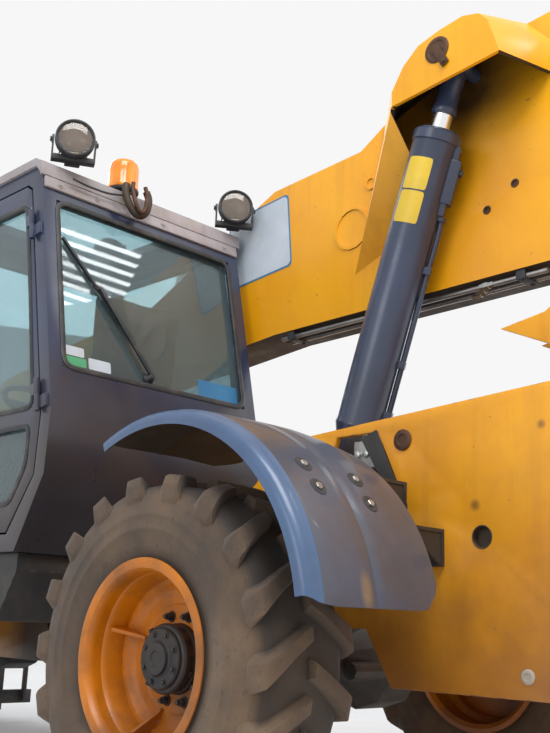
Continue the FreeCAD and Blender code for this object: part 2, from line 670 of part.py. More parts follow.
def hinge_barrels(name, sign):
    """Round barrels on the door's leaning hinge line, on straps that reach ahead (1) or behind (-1)."""
    lean = S["cab_lean"] / (S["cab_eave"] - S["cab_sill"])
    tilt = Size(math.degrees(math.atan(lean.number)), f"atan({lean.text})")
    length, drop = S["hinge_length"], S["hinge_out"]
    pieces = []
    for index, height in enumerate((60, 740)):
        barrel = body(f"{name}_{index}", x=S["cab_rear_low"] + 60, y=S["cab_left"] + drop, z=S["cab_sill"], tilt=tilt)
        middle = height + sign * (length + S["seat_gap"]) / 2
        pad(barrel, "XY", [ngon((0, 0), S["hinge_radius"], 8)], length, "Barrel", lift=middle)
        strap = [(-4 * sign, 3 - drop), (8 * sign, 3 - drop), (8 * sign, -4 - drop), (44 * sign, -4 - drop),
                 (44 * sign, -4), (-4 * sign, -4)]
        pad(barrel, "XY", [strap], length - 16, "Strap", lift=middle)
        pieces.append(barrel)
    if sign > 0:
        pad(barrel, "XY", [((0, 0), S["nipple_radius"])], length, "Pin", lift=middle + 8)
    return pieces


def pane(name, corners, thick, y=0):
    glass = body(name, y=y)
    pad(glass, "XZ", [corners], thick)
    return glass


def cab_glass():
    """Rear, front and right panes, set in the shell's openings."""
    post, gap, thick = S["cab_post"], S["seat_gap"], S["glass_thick"]
    sill, eave = S["cab_sill"], S["cab_eave"]
    middle = (S["cab_left"] + S["cab_right"]) / 2
    wide = S["cab_left"] - S["cab_right"] - post * 2 - gap * 2
    inside = post * 0.4
    low, high = 165 + gap, eave - sill - 95 - gap
    rear = pane("pane_rear", [(cab_line(low) + inside, sill + low), (cab_line(low) + inside + thick, sill + low),
                              (cab_line(high) + inside + thick, sill + high), (cab_line(high) + inside, sill + high)],
                wide, middle)
    slope = (S["cab_front"] - S["roof_front"] - 34) / (eave - sill - 20)
    top_x = S["cab_front"] - slope * (eave - sill - 80 - gap) - inside
    low_x = S["cab_front"] - slope * (10 + gap) - inside
    front = pane("pane_front", [(low_x, sill + 30 + gap), (low_x - thick, sill + 30 + gap),
                                (top_x - thick, eave - 60 - gap), (top_x, eave - 60 - gap)], wide, middle)
    right = pane("pane_right", [(cab_line(40) + post + 14 + gap, sill + 40 + gap),
                                (cab_line(eave - sill - 40) + post + 14 + gap, eave - 40 - gap),
                                (S["roof_front"] - 40 - gap * 2, eave - 40 - gap),
                                (S["cab_front"] - post - 26 - gap * 2, sill + 40 + gap)],
                 thick, S["cab_right"] + inside)
    roof = block("pane_roof", (950 + gap, 1500 - gap), (middle - (wide / 2 - 60), middle + (wide / 2 - 60)),
                 (eave + 20, eave + 20 + thick))
    return group("Part::Compound", "cab_glass", [rear, front, right, roof])


def cab_roof():
    """The roof skin, overhanging the eaves, with an opening over the driver."""
    eave = S["cab_eave"]
    roof = body("cab_roof_skin", y=(S["cab_left"] + S["cab_right"]) / 2)
    rear = S["cab_rear_low"] + S["cab_lean"]
    gap = S["seat_gap"]
    pad(roof, "XZ", [[(rear - 16, eave - 10), (rear - 10, eave + 44), (rear + 40, S["roof_top"]),
                      (S["roof_front"] - 20, S["roof_top"]), (S["roof_front"] + 60, eave + 40),
                      (S["roof_front"] + 60, eave + 34 + gap), (rear + 33, eave + 34 + gap), (rear - gap, eave + gap),
                      (rear - 3, eave - 10)]],
        S["cab_left"] - S["cab_right"] + 24)
    pocket(roof, "XY", [[(930, -330), (1520, -330), (1520, 330), (930, 330)]], 400, "Hatch", lift=S["roof_top"])
    return roof


node("cab_shell", cab_shell())
node("cab_glass", cab_glass())
node("cab_roof", cab_roof())


def door():
    """The door frame that fills the doorway, with its handle, and its pane."""
    post, gap = S["cab_post"], S["door_gap"]
    outside = S["cab_left"] - S["seat_gap"]
    leaf = body("door_leaf", y=outside - S["door_thick"] / 2)
    pad(leaf, "XZ", [cab_outline(post + gap + 2)], S["door_thick"])
    rail = 48
    sill, eave = S["cab_sill"], S["cab_eave"]
    upper = [(cab_line(20) + post + gap + rail, sill + 20),
             (cab_line(eave - sill - 40) + post + gap + rail, eave - 60 - rail),
             (S["roof_front"] - post - 20, eave - 60 - rail), (S["cab_front"] - post - rail - 40, sill + 20)]
    lower = [(800, S["cab_floor"] + 130), (cab_line(0) + post + gap + rail + 20, 1120),
             (cab_line(0) + post + gap + rail + 20, sill - 40), (1500, sill - 40), (1480, S["cab_floor"] + 130)]
    pocket(leaf, "XZ", [upper, lower], S["door_thick"] * 2, "Windows")
    panes = []
    inset = S["seat_gap"]
    for pane_name, corners in (("upper", upper), ("lower", lower)):
        middle = sum(size(x).number for x, z in corners) / len(corners)
        centre = sum(size(z).number for x, z in corners) / len(corners)
        drawn = [(x - inset if size(x).number > middle else x + inset,
                  z - inset if size(z).number > centre else z + inset) for x, z in corners]
        panes.append(pane(f"door_pane_{pane_name}", drawn, S["glass_thick"], outside - S["door_thick"] / 2))
    handle = block("door_handle", (1520, 1640), (outside - 2, outside + 14), (sill - 30, sill - 6))
    frame = group("Part::MultiFuse", "door_whole", [leaf, handle] + hinge_barrels("door_barrel", 1))
    return frame, group("Part::Compound", "door_glass", panes)


door_frame, door_glass = door()
node("door_frame", door_frame)
node("door_glass", door_glass)


def cab_inside():
    """Seat on its pedestal, console, column and wheel."""
    floor = S["cab_floor"] - 30 + S["cab_post"]
    middle = 475
    gap = S["seat_gap"]
    base = block("seat_box", (820, 1180), (middle - 190, middle + 190), (floor + gap, floor + 300))
    cushion = block("cushion_block", (810, 1260), (middle - 240, middle + 240), (floor + 300 + gap, floor + 410))
    back = body("seat_back", y=middle)
    pad(back, "XZ", [[(790, floor + 420), (890, floor + 420), (850, floor + 960), (800, floor + 1000),
                      (750, floor + 960)]], 440)
    back_link = block("seat_hinge", (800, 880), (middle - 150, middle + 150), (floor + 396, floor + 430))
    dash = body("dash", y=middle)
    pad(dash, "XZ", [[(1420, floor + gap), (1538, floor + gap), (1538, 1220), (1700, 1322), (1700, 1390),
                      (1600, 1420), (1500, 1390), (1440, 1280)]], 420)
    column = body("column", x=1490, y=middle, z=1380, tilt=-size(35))
    pad(column, "XY", [ngon((0, 0), 26, 8)], 260)
    hoop = faceted("steering_hoop", [(171, 0), (180, 12), (192, 12), (199, 0), (192, -12), (180, -12)], 18,
                   along="z")
    place(hoop, x=1415, y=middle, z=1487, tilt=-size(35))
    spokes = body("spokes", x=1415, y=middle, z=1487, tilt=-size(35))
    pad(spokes, "XY", [[(-16, -186), (16, -186), (16, 186), (-16, 186)]], 14)
    side_box = block("side_console", (860, 1300), (cab_side_y() + gap, cab_side_y() + 150), (floor + gap, floor + 470))
    return (base, group("Part::MultiFuse", "seat_soft", [cushion, back, back_link]),
            group("Part::MultiFuse", "controls", [dash, column, hoop, spokes]), side_box)


def cab_side_y():
    return S["cab_right"] + S["cab_post"]


seat_base, seat_soft, controls, side_box = cab_inside()
node("seat_base", seat_base)
node("seat_cushion", seat_soft)
node("dash_and_steering_wheel", controls)
node("side_console", side_box)


def skirt():
    """The step box under the doorway, in front of the rear wheel, and the tank beside it."""
    low, top = S["skirt_low"], S["cab_floor"] - 30 - S["seat_gap"]
    inner = S["left_plate_y"] + S["plate_thick"] / 2 + S["seat_gap"]
    step = body("step_box", y=(inner + S["cab_left"] - 30) / 2)
    pad(step, "XZ", [[(860, low), (1560, low), (1590, low + 60), (1590, top), (760, top), (760, low + 170)]],
        S["cab_left"] - 30 - inner)
    pocket(step, "XZ", [[(960, low + 40), (1400, low + 40), (1400, top - 30), (960, top - 30)]], 320, "StepWell",
           lift=-(S["cab_left"] - 30 - inner) / 2)
    return step


node("step_box", skirt())


# Lamps, beacon, mirrors and wiper

def lamp(name, x, y, z, radius, turned):
    """A round work lamp, its lens facing along its own +x."""
    shell = faceted(name, [(0, -52), (radius * 0.5, -52), (radius, 8), (radius, 52), (0, 52)], 12, along="x")
    return place(shell, x=x, y=y, z=z, spin=turned)


def lamps():
    """Work lamps on stalks at the roof's four corners."""
    pieces = []
    rear = S["cab_rear_low"] + S["cab_lean"]
    gap = S["seat_gap"]
    for name, x, y, turned in (("rear_left", rear - 30, 864, 180), ("rear_right", rear - 30, 20, 180),
                               ("front_left", S["roof_front"] - 20, 864, 0),
                               ("front_right", S["roof_front"] - 20, 60, 0)):
        head = lamp(f"lamp_{name}", x, y, S["roof_top"] + 84, 76, turned)
        ends = (x - 60, x + 14) if turned == 0 else (x - 14, x + 110)
        foot = block(f"stalk_{name}", ends, (y - 16, y + 16), (S["roof_top"] + gap, S["roof_top"] + 30))
        pieces.append(group("Part::MultiFuse", f"work_lamp_{name}", [head, foot]))
    return group("Part::Compound", "work_lamps", pieces)


def beacon():
    """An amber beacon on a short pole on the roof's rear edge."""
    post = faceted("beacon_post", [(0, 0), (62, 0), (66, 14), (66, 40), (60, 118), (44, 140), (0, 148)], 16,
                   along="z")
    return place(post, x=S["cab_rear_low"] + S["cab_lean"] + 60, y=560, z=S["roof_top"] + S["seat_gap"])


def mirrors():
    """Two mirrors on arms at the front corners of the cab."""
    pieces = []
    for name, y, sign in (("left", S["cab_left"], 1), ("right", S["cab_right"] - S["seat_gap"], -1)):
        arm_y = (y + S["seat_gap"], y + 30) if sign > 0 else (y - 34, y)
        arm = block(f"mirror_arm_{name}", (S["roof_front"] + 20, S["roof_front"] + 190), arm_y,
                    (S["cab_eave"] - 95, S["cab_eave"] - 70))
        head = block(f"mirror_head_{name}", (S["roof_front"] + 160, S["roof_front"] + 205),
                     (y + 4, y + 30) if sign > 0 else (y - 30, y - 4), (S["cab_eave"] - 330, S["cab_eave"] - 60))
        pieces.append(group("Part::MultiFuse", f"mirror_{name}", [arm, head]))
    return group("Part::Compound", "mirrors", pieces)


node("work_lamps", lamps())
node("beacon", beacon())
node("mirrors", mirrors())


# Engine pod on the right, with its lid and the engine

def engine_pod():
    """An open-topped pod with louvres in its outer wall."""
    inner = right_plate_y() - S["plate_thick"] / 2 - S["seat_gap"]
    middle, width = (inner + S["pod_out"]) / 2, inner - S["pod_out"]
    low, high, rear, front, wall = (S[key] for key in ("pod_low", "pod_high", "pod_rear", "pod_front", "pod_wall"))
    pod = body("pod_shell", y=middle)
    pad(pod, "XZ", [[(rear + 120, low), (front, low), (front, high), (rear, high), (rear, low + 120)]], width)
    pocket(pod, "XZ", [[(rear + wall + 108, low + wall), (front - wall, low + wall), (front - wall, high + 50),
                        (rear + wall, high + 50), (rear + wall, low + 128)]], width - wall * 2, "Bay")
    slots = []
    for index in range(7):
        z = low + 150 + index * 52
        slots.append([(rear + 180, z), (front - 180, z), (front - 180, z + 26), (rear + 180, z + 26)])
    pocket(pod, "XZ", slots, wall * 4, "Louvres", lift=width / 2)
    return pod


def engine_hood():
    """The lid of the pod, hinged along its inner edge."""
    inner = right_plate_y() - S["plate_thick"] / 2 - 40
    outer = S["pod_out"]
    high, rise, gap = S["pod_high"], S["hood_rise"], S["seat_gap"]
    lid = body("hood_lid", x=(S["pod_rear"] + S["pod_front"]) / 2)
    pad(lid, "YZ", [[(inner, high + gap), (outer, high + gap), (outer, high + 22), (outer + 70, high + rise),
                     (inner - 30, high + rise), (inner, high + rise - 14)]], S["pod_front"] - S["pod_rear"] - 8)
    pocket(lid, "YZ", [[(inner - 16, high - 10), (outer + 16, high - 10), (outer + 16, high + 16),
                        (outer + 78, high + rise - 14), (inner - 36, high + rise - 14), (inner - 16, high + rise - 24)]],
           S["pod_front"] - S["pod_rear"] - 40, "Hollow")
    barrels = [rod(f"lid_barrel_{index}", S["hinge_radius"], (x, inner, high), S["hinge_length"], "x")
               for index, x in enumerate((S["pod_rear"] + 100, S["pod_front"] - 160))]
    barrels.append(nipple("lid_pin", S["pod_rear"] + 96 + S["hinge_length"], inner, high, "x"))
    return group("Part::MultiFuse", "hood_whole", [lid] + barrels)


node("engine_pod", engine_pod())
node("engine_hood", engine_hood())
low = S["pod_low"] + S["pod_wall"] + S["seat_gap"]
node("engine_block", block("engine_mass", (860, 1440), (-880, -460), (low, low + 520)))


# Boom: all pieces drawn in the boom's own frame

def boom_body(name, y=0):
    return body(name, x=S["pivot_x"], y=S["boom_y"] + y, z=S["pivot_z"], tilt=S["boom_slope"])


def boom_point(u, v):
    """Station and height of a point of the boom's frame."""
    lean, rise = cosine(S["boom_slope"]), sine(S["boom_slope"])
    return S["pivot_x"] + u * lean + v * rise, S["pivot_z"] - u * rise + v * lean


def boom_outline(inset):
    """Side outline of the outer boom: deep behind, where the lift cylinder pulls, shallow in front."""
    deep, low, high, crown, front = (S[key] for key in
                                     ("boom_deep_low", "boom_low", "boom_high", "boom_crown", "boom_front"))
    return [(-128 + inset, -70), (-60, -150 + inset), (339, deep + inset), (1620, low + inset),
            (front, low + inset), (front, high - inset), (2450, high - inset), (1586, 528 - inset),
            (1096, 512 - inset), (965, 576 - inset), (604, 667 - inset), (365, crown - inset),
            (200 + inset, crown - inset), (70 + inset * 0.8, 600 - inset), (-110 + inset, 110)]


def outer_boom():
    """A welded box, open in front, with a collar of wear pads and the pivot tube."""
    boom = boom_body("outer_boom_box")
    wall, width = S["boom_wall"], S["boom_width"]
    front, low = S["boom_front"], S["boom_low"]
    pad(boom, "XZ", [boom_outline(0)], width)
    floor = inner_low() - 10
    room = [(300, floor), (front - S["collar"], floor), (front - S["collar"], S["boom_high"] - wall),
            (2448, S["boom_high"] - wall), (1586, 528 - wall), (1100, 512 - wall), (970, 576 - wall),
            (604, 667 - wall), (365, S["boom_crown"] - wall), (300, S["boom_crown"] - wall)]
    pocket(boom, "XZ", [room], width - wall * 2, "Room")
    gap = S["seat_gap"]
    mouth = [(front - S["collar"] - 20, inner_low() - gap), (front + 20, inner_low() - gap),
             (front + 20, inner_low() + S["inner_depth"] + gap),
             (front - S["collar"] - 20, inner_low() + S["inner_depth"] + gap)]
    pocket(boom, "XZ", [mouth], S["inner_width"] + gap * 2, "Mouth")
    pocket(boom, "XZ", [pin_hole((0, 0), S["pivot_radius"])], width * 2, "PivotBore")
    pocket(boom, "XZ", [ngon((431, 94), 14, 10), ngon((553, 36), 14, 10)], 60, "SideHoles", lift=-width / 2)
    collar = boom_body("boom_collar")
    pad(collar, "XZ", [[(front - 70, low - 14), (front, low - 14), (front, S["boom_high"] + 14),
                        (front - 70, S["boom_high"] + 14)]], width + 28)
    pocket(collar, "XZ", [[(front - 90, inner_low() - gap), (front + 20, inner_low() - gap),
                           (front + 20, inner_low() + S["inner_depth"] + gap),
                           (front - 90, inner_low() + S["inner_depth"] + gap)]], width - 20, "Ring")
    rings = boom_body("boom_bosses", y=width / 2)
    pad(rings, "XZ", [ngon((1170, 196), 92, 16), ngon((1056, 352), 30, 8)], 10)
    pocket(rings, "XZ", [ngon((1170, 196), 78, 16), ngon((1056, 352), 20, 8)], 40, "Hollows")
    return group("Part::MultiFuse", "outer_boom", [boom, collar, rings])


def inner_low():
    """Underside of the inner boom, inside the outer one."""
    return S["boom_low"] + S["boom_wall"] + 6


def lift_hood():
    """The hood on the boom's left side that takes the head of the lift cylinder."""
    foot = S["boom_y"] + S["boom_width"] / 2
    depth = S["hood_y"] - foot
    low, wall = S["hood_low"], S["hood_wall"].number
    near = [(1171, -9), (1040, 230), (965, 576), (900, 612), (780, 650), (604, 667), (440, 680), (300, 684), (215, 560), (262, 250)]
    far = [(746, 446), (744, 470), (741, 505), (682, 582), (608, 633), (514, 648), (416, 652), (352, 628), (321, 586), (291, 446)]
    near_in = [(1171 - wall * 1.9, -9), (1040 - wall * 1.4, 230), (965 - wall, 576 - wall), (900, 612 - wall), (780, 650 - wall),
               (604, 667 - wall), (440, 680 - wall), (300 + wall * 0.6, 684 - wall), (215 + wall, 560),
               (262 + wall, 250)]
    far_in = [(746 - wall, 446), (744 - wall, 470), (741 - wall, 505 - wall * 0.4), (682 - wall * 0.7, 582 - wall * 0.7),
              (608 - wall * 0.4, 633 - wall), (514, 648 - wall), (416, 652 - wall), (352 + wall * 0.4, 628 - wall),
              (321 + wall, 586 - wall * 0.4), (291 + wall, 446)]
    skin = tapered("hood_skin", near, far, (0, depth))
    cavity = tapered("hood_cavity", near_in, far_in, (-6, depth - S["hood_wall"]))
    foot_cut = block("hood_foot_cut", (100 - S["rear_axle_x"], 760 - S["rear_axle_x"]), (-depth, depth * 2),
                     (low - 700, low))
    for piece in (skin, cavity):
        place(piece, x=-S["rear_axle_x"])
    hood = group("Part::Cut", "hood_shell", [skin, group("Part::MultiFuse", "hood_hollow", [cavity, foot_cut])])
    return place(hood, x=S["pivot_x"], y=S["boom_y"] + S["boom_width"] / 2, z=S["pivot_z"], tilt=S["boom_slope"])


node("outer_boom", outer_boom())
node("lift_hood", lift_hood())


def inner_boom():
    """A box tube with slides at its rear end, and the neck that bends down to the carriage."""
    width, low, depth = S["inner_width"], inner_low(), S["inner_depth"]
    rear, front, wall = S["inner_rear"], S["inner_front"], S["inner_wall"]
    tube = boom_body("inner_tube")
    pad(tube, "XZ", [[(rear, low), (front, low), (front, low + depth), (rear, low + depth)]], width)
    pocket(tube, "XZ", [[(rear - 20, low + wall), (front - 40, low + wall), (front - 40, low + depth - wall),
                         (rear - 20, low + depth - wall)]], width - wall * 2, "Room")
    slide = boom_body("inner_slide")
    gap = S["seat_gap"]
    pad(slide, "XZ", [[(rear, low - 10 + gap), (rear + 110, low - 10 + gap), (rear + 110, low + depth - 60),
                       (rear, low + depth - 60)]], S["boom_width"] - S["boom_wall"] * 2 - gap * 2)
    pocket(slide, "XZ", [[(rear - 20, low + wall), (rear + 130, low + wall), (rear + 130, low + depth - 40),
                          (rear - 20, low + depth - 40)]], width - wall * 2, "Room")
    return group("Part::MultiFuse", "inner_boom", [tube, slide])


def neck():
    """The cranked head: two side plates with a web behind and one over the top."""
    width, low, top = S["inner_width"], inner_low(), inner_low() + S["inner_depth"]
    front, plate = S["inner_front"], S["neck_plate"].number
    head_u, head_v, pin = S["head_u"], S["head_v"], S["head_pin"]
    shape = [(front, low), (front, top), (3830, top - 14), (3990, 40), (4110, -300), (4215, -700),
             (head_u + 62, head_v + 190), (head_u + 72, head_v + 10), (head_u + 40, head_v - 62),
             (head_u - 30, head_v - 66), (head_u - 76, head_v + 4), (4000, -720), (3868, -380), (3780, -190)]
    inside = [(front + plate, low + plate), (front + plate, top - plate), (3820, top - 14 - plate),
              (3990 - plate * 1.6, 40 - plate), (4110 - plate * 1.3, -300), (4320, -420), (4420, head_v - 90),
              (head_u - 40, head_v - 90), (head_u - 76 + plate * 1.2, head_v + 4), (4000 + plate * 1.1, -720),
              (3868 + plate * 1.2, -380), (3780 + plate * 0.8, -190 + plate)]
    head = boom_body("neck_plates")
    pad(head, "XZ", [shape], width)
    pocket(head, "XZ", [inside], width - plate * 2, "Inside")
    pocket(head, "XZ", [pin_hole((head_u, head_v), pin)], width * 2, "PinBore")
    bearing = boom_body("neck_bearing")
    pad(bearing, "XZ", [ngon((head_u, head_v), 50)], width)
    pocket(bearing, "XZ", [pin_hole((head_u, head_v), pin)], width * 2, "PinBore")
    lugs = [head, bearing]
    for side_name, sign in (("left", 1), ("right", -1)):
        lug = boom_body(f"tilt_lug_{side_name}", y=sign * (width / 2 - plate - 12))
        base_u, base_v = S["tilt_base_u"], S["tilt_base_v"]
        pad(lug, "XZ", [ngon((base_u, base_v), 44, 12)], 26)
        lugs.append(lug)
    pins = boom_body("tilt_base_pin")
    pad(pins, "XZ", [((S["tilt_base_u"], S["tilt_base_v"]), S["tilt_pin"])], width - plate * 2)
    return group("Part::MultiFuse", "boom_neck", lugs + [pins])


node("inner_boom", inner_boom())
node("boom_neck", neck())


# Carriage and forks

head_x, head_z = boom_point(S["head_u"], S["head_v"])


def carriage():
    """Two fork rails on upright plates, with lugs outside the neck and the tilt lever inside it."""
    y, width = S["boom_y"], S["inner_width"]
    face = head_x + S["carriage_reach"]
    low = S["fork_height"] + S["fork_thick"] + S["rail_height"]
    high = low + S["rail_spacing"] - S["rail_height"]
    half = S["carriage_width"] / 2
    pieces = [block("rail_low", (face, face + S["rail_thick"]), (y - half, y + half), (low - S["rail_height"], low)),
              block("rail_high", (face, face + S["rail_thick"]), (y - half, y + half), (high, high + S["rail_height"]))]
    for name, offset in (("lug", width / 2 + 6 + 10), ("outer", half - 60)):
        for side_name, sign in (("left", 1), ("right", -1)):
            plate = body(f"carriage_{name}_{side_name}", y=y + sign * offset)
            if name == "lug":
                shape = [(head_x - 50, head_z + 30), (head_x - 50, head_z - 30), (head_x - 10, head_z - 56),
                         (face - 30, low - 70), (face + 2, low - 70), (face + 2, high + 60), (face - 40, high + 60)]
            else:
                shape = [(face - 26, low - 60), (face + 2, low - 60), (face + 2, high + 60), (face - 26, high + 60)]
            pad(plate, "XZ", [shape], 20)
            pieces.append(plate)
    eye_x, eye_z = head_x + S["tilt_arm_x"], head_z + S["tilt_arm_z"]
    inner = S["eye_width"] * 0.5 + 3
    for side_name, sign in (("left", 1), ("right", -1)):
        lever = body(f"tilt_lever_{side_name}", y=y + sign * (inner + 9))
        pad(lever, "XZ", [[(eye_x - 40, eye_z - 10), (eye_x - 10, eye_z - 40), (face - 20, high - 60),
                           (face + 2, high - 60), (face + 2, high + 70), (face - 20, high + 70),
                           (eye_x + 10, eye_z + 44), (eye_x - 26, eye_z + 34)]], 18)
        pieces.append(lever)
    cross = block("lever_tie", (face - 10, face + 4), (y - half + 70, y + half - 70), (high - 56, high - 20))
    pin = rod("head_pin", S["head_pin"], (head_x, y - width / 2 - 34, head_z), width + 68)
    tip = nipple("head_pin_nipple", head_x, y + width / 2 + 28, head_z)
    return group("Part::MultiFuse", "carriage", pieces + [cross, pin, tip])


def forks():
    """Two L-shaped forks hung on the rails, tapered to their tips."""
    pieces = []
    heel = head_x + S["carriage_reach"] + S["rail_thick"] + S["seat_gap"]
    bottom, thick = S["fork_height"], S["fork_thick"]
    top = bottom + thick + S["rail_height"] + S["rail_spacing"] + 10 + S["seat_gap"]
    for side_name, sign in (("left", 1), ("right", -1)):
        fork = body(f"fork_{side_name}", y=S["boom_y"] + sign * S["fork_y"])
        tip = heel + S["fork_length"]
        pad(fork, "XZ", [[(heel, bottom), (tip - 10, bottom), (tip, bottom + 8), (tip - 6, bottom + 14),
                          (heel + thick * 3, bottom + thick), (heel + thick, bottom + thick + 30),
                          (heel + thick, top), (heel - S["rail_thick"] - 16, top),
                          (heel - S["rail_thick"] - 16, top - 24), (heel - S["rail_thick"] - 1, top - 24),
                          (heel - S["rail_thick"] - 1, top - 10), (heel, top - 10)]], S["fork_width"])
        pieces.append(fork)
    return group("Part::Compound", "forks", pieces)


node("carriage", carriage())
node("forks", forks())


# Hydraulic cylinders, each drawn along +z from its foot pin

def cylinder_angle(foot, head):
    """Length and backward lean of the line from the foot pin to the head pin."""
    run, rise = foot[0].number - head[0].number, head[1].number - foot[1].number
    return math.hypot(run, rise), math.degrees(math.atan2(run, rise))


def hydraulic(name, foot, head, y, barrel, rod_radius, eye, eye_width, pin_radius, exposed):
    """Barrel with its foot eye and gland, and rod with its head eye and short pin."""
    length, lean = cylinder_angle(foot, head)
    top = length - eye - exposed
    start = eye * 1.25
    bore = (rod_radius + S["pin_gap"]) / math.cos(math.pi / 16)
    tube = faceted(f"{name}_tube", [
        (0, start), (barrel, start), (barrel, top - 46), (barrel + 6, top - 46), (barrel + 6, top - 8),
        (barrel - 6, top), (bore, top), (bore, start + 40), (0, start + 40)], 16, along="z")
    place(tube, x=foot[0], y=y, z=foot[1], tilt=-size(lean))
    foot_eye = body(f"{name}_foot", x=foot[0], y=y, z=foot[1], tilt=-size(lean))
    pad(foot_eye, "XZ", [ngon((0, 0), eye * 0.95)], eye_width)
    neck_block = body(f"{name}_foot_neck", x=foot[0], y=y, z=foot[1], tilt=-size(lean))
    pad(neck_block, "XZ", [[(-eye * 0.9, 0), (eye * 0.9, 0), (eye * 0.9, start + 4), (-eye * 0.9, start + 4)]],
        eye_width)
    solid = group("Part::MultiFuse", f"{name}_barrel_body", [tube, foot_eye, neck_block])
    hole = rod(f"{name}_foot_hole", pin_radius, (foot[0], y - eye_width, foot[1]), eye_width * 2, around=True)
    barrel_piece = group("Part::Cut", f"{name}_barrel", [solid, hole])
    shaft = faceted(f"{name}_shaft", [(0, start + 110), (rod_radius, start + 110), (rod_radius, length - eye * 0.8),
                                     (0, length - eye * 0.8)], 16, along="z")
    place(shaft, x=foot[0], y=y, z=foot[1], tilt=-size(lean))
    head_eye = body(f"{name}_head", x=head[0], y=y, z=head[1], tilt=-size(lean))
    pad(head_eye, "XZ", [ngon((0, 0), eye)], eye_width)
    return barrel_piece, shaft, head_eye


lift_foot = (S["lift_base_x"], S["lift_base_z"])
lift_head = boom_point(S["lift_pin_u"], S["lift_pin_v"])
lift_barrel, lift_shaft, lift_eye = hydraulic(
    "lift", lift_foot, lift_head, S["lift_y"], S["barrel_radius"], S["rod_radius"], S["eye_radius"],
    S["eye_width"], S["lift_pin_radius"], 62)
reach_in = S["boom_y"] + S["boom_width"] / 2 + 6
reach_out = S["hood_y"] - S["hood_wall"] - 6
lift_pin = rod("lift_head_pin", S["lift_pin_radius"], (lift_head[0], reach_in, lift_head[1]), reach_out - reach_in)
node("lift_barrel", lift_barrel)
node("lift_rod", group("Part::MultiFuse", "lift_rod", [lift_shaft, lift_eye, lift_pin]))

tilt_foot = boom_point(S["tilt_base_u"], S["tilt_base_v"])
tilt_head = (head_x + S["tilt_arm_x"], head_z + S["tilt_arm_z"])
tilt_barrel, tilt_shaft, tilt_eye = hydraulic(
    "tilt", tilt_foot, tilt_head, S["boom_y"], S["tilt_radius"], S["tilt_rod"], S["tilt_eye"],
    S["eye_width"], S["tilt_pin"], 105)
node("tilt_barrel", tilt_barrel)
node("tilt_rod", group("Part::MultiFuse", "tilt_rod", [tilt_shaft, tilt_eye]))


# Pins that the frame carries, and the pipes under the boom

def chassis_pins():
    """The boom's pivot pin and the lift cylinder's foot pin, with their heads."""
    pieces = []
    inner, outer = tower_y(-1) - S["tower_thick"] / 2, tower_y(1) + S["tower_thick"] / 2
    pivot = rod("pivot_pin", S["pivot_radius"], (S["pivot_x"], inner, S["pivot_z"]), outer - inner + 16)
    head = rod("pivot_head", S["pivot_radius"] + 18, (S["pivot_x"], outer + S["seat_gap"], S["pivot_z"]), 14)
    tip = nipple("pivot_nipple", S["pivot_x"], outer + 10, S["pivot_z"])
    pieces.append(group("Part::MultiFuse", "pivot_pin_whole", [pivot, head, tip]))
    half = S["eye_width"] / 2 + 30
    foot = rod("lift_foot_pin", S["lift_pin_radius"], (S["lift_base_x"], S["lift_y"] - half, S["lift_base_z"]), half * 2)
    foot_tip = nipple("foot_pin_nipple", S["lift_base_x"], S["lift_y"] + half - 4, S["lift_base_z"])
    pieces.append(group("Part::MultiFuse", "lift_foot_pin_whole", [foot, foot_tip]))
    return group("Part::Compound", "frame_pins", pieces)


def boom_pipes():
    """Steel pipes along the lower left edge of the outer boom, in three clamps."""
    start, finish = 360, 1600
    drop = (S["boom_low"] - S["boom_deep_low"]) / (1620 - 339)
    slope = math.degrees(math.atan(drop.number))
    pieces = []
    for index in range(3):
        pipe = boom_body(f"pipe_{index}", y=S["boom_width"] / 2 - 22 - index * 30)
        pad(pipe, "XZ", [[(start, pipe_v(start)), (finish, pipe_v(finish)), (finish, pipe_v(finish) - 20),
                          (start, pipe_v(start) - 20)]], 20)
        pieces.append(pipe)
    for index, u in enumerate((440, 980, 1520)):
        clamp = boom_body(f"clamp_{index}", y=S["boom_width"] / 2 - 52)
        pad(clamp, "XZ", [[(u, pipe_v(u) + 11.5), (u + 36, pipe_v(u + 36) + 11.5), (u + 36, pipe_v(u + 36) - 28),
                           (u, pipe_v(u) - 28)]], 96)
        pieces.append(clamp)
    return group("Part::MultiFuse", "boom_pipes", pieces)


def pipe_v(u):
    """Height of the pipes' top under the sloping belly of the boom."""
    share = (size(u) - 339) / (1620 - 339)
    return S["boom_deep_low"] + (S["boom_low"] - S["boom_deep_low"]) * share - 12


node("frame_pins", chassis_pins())
node("boom_pipes", boom_pipes())


# Checks and export

doc.recompute()
for item in doc.Objects:
    if {"Invalid", "Error"} & set(item.State):
        raise ValueError(f"{item.Label} failed: {item.State}")
os.makedirs("parts", exist_ok=True)
for label, piece in nodes.items():
    shape = piece.Shape
    if shape.isNull() or not shape.isValid():
        raise ValueError(f"{label} has no valid shape")
    shape.exportStep(f"parts/{label}.step")
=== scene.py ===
import json
import math
import random

import bmesh
import bpy
from mathutils import Matrix, Vector

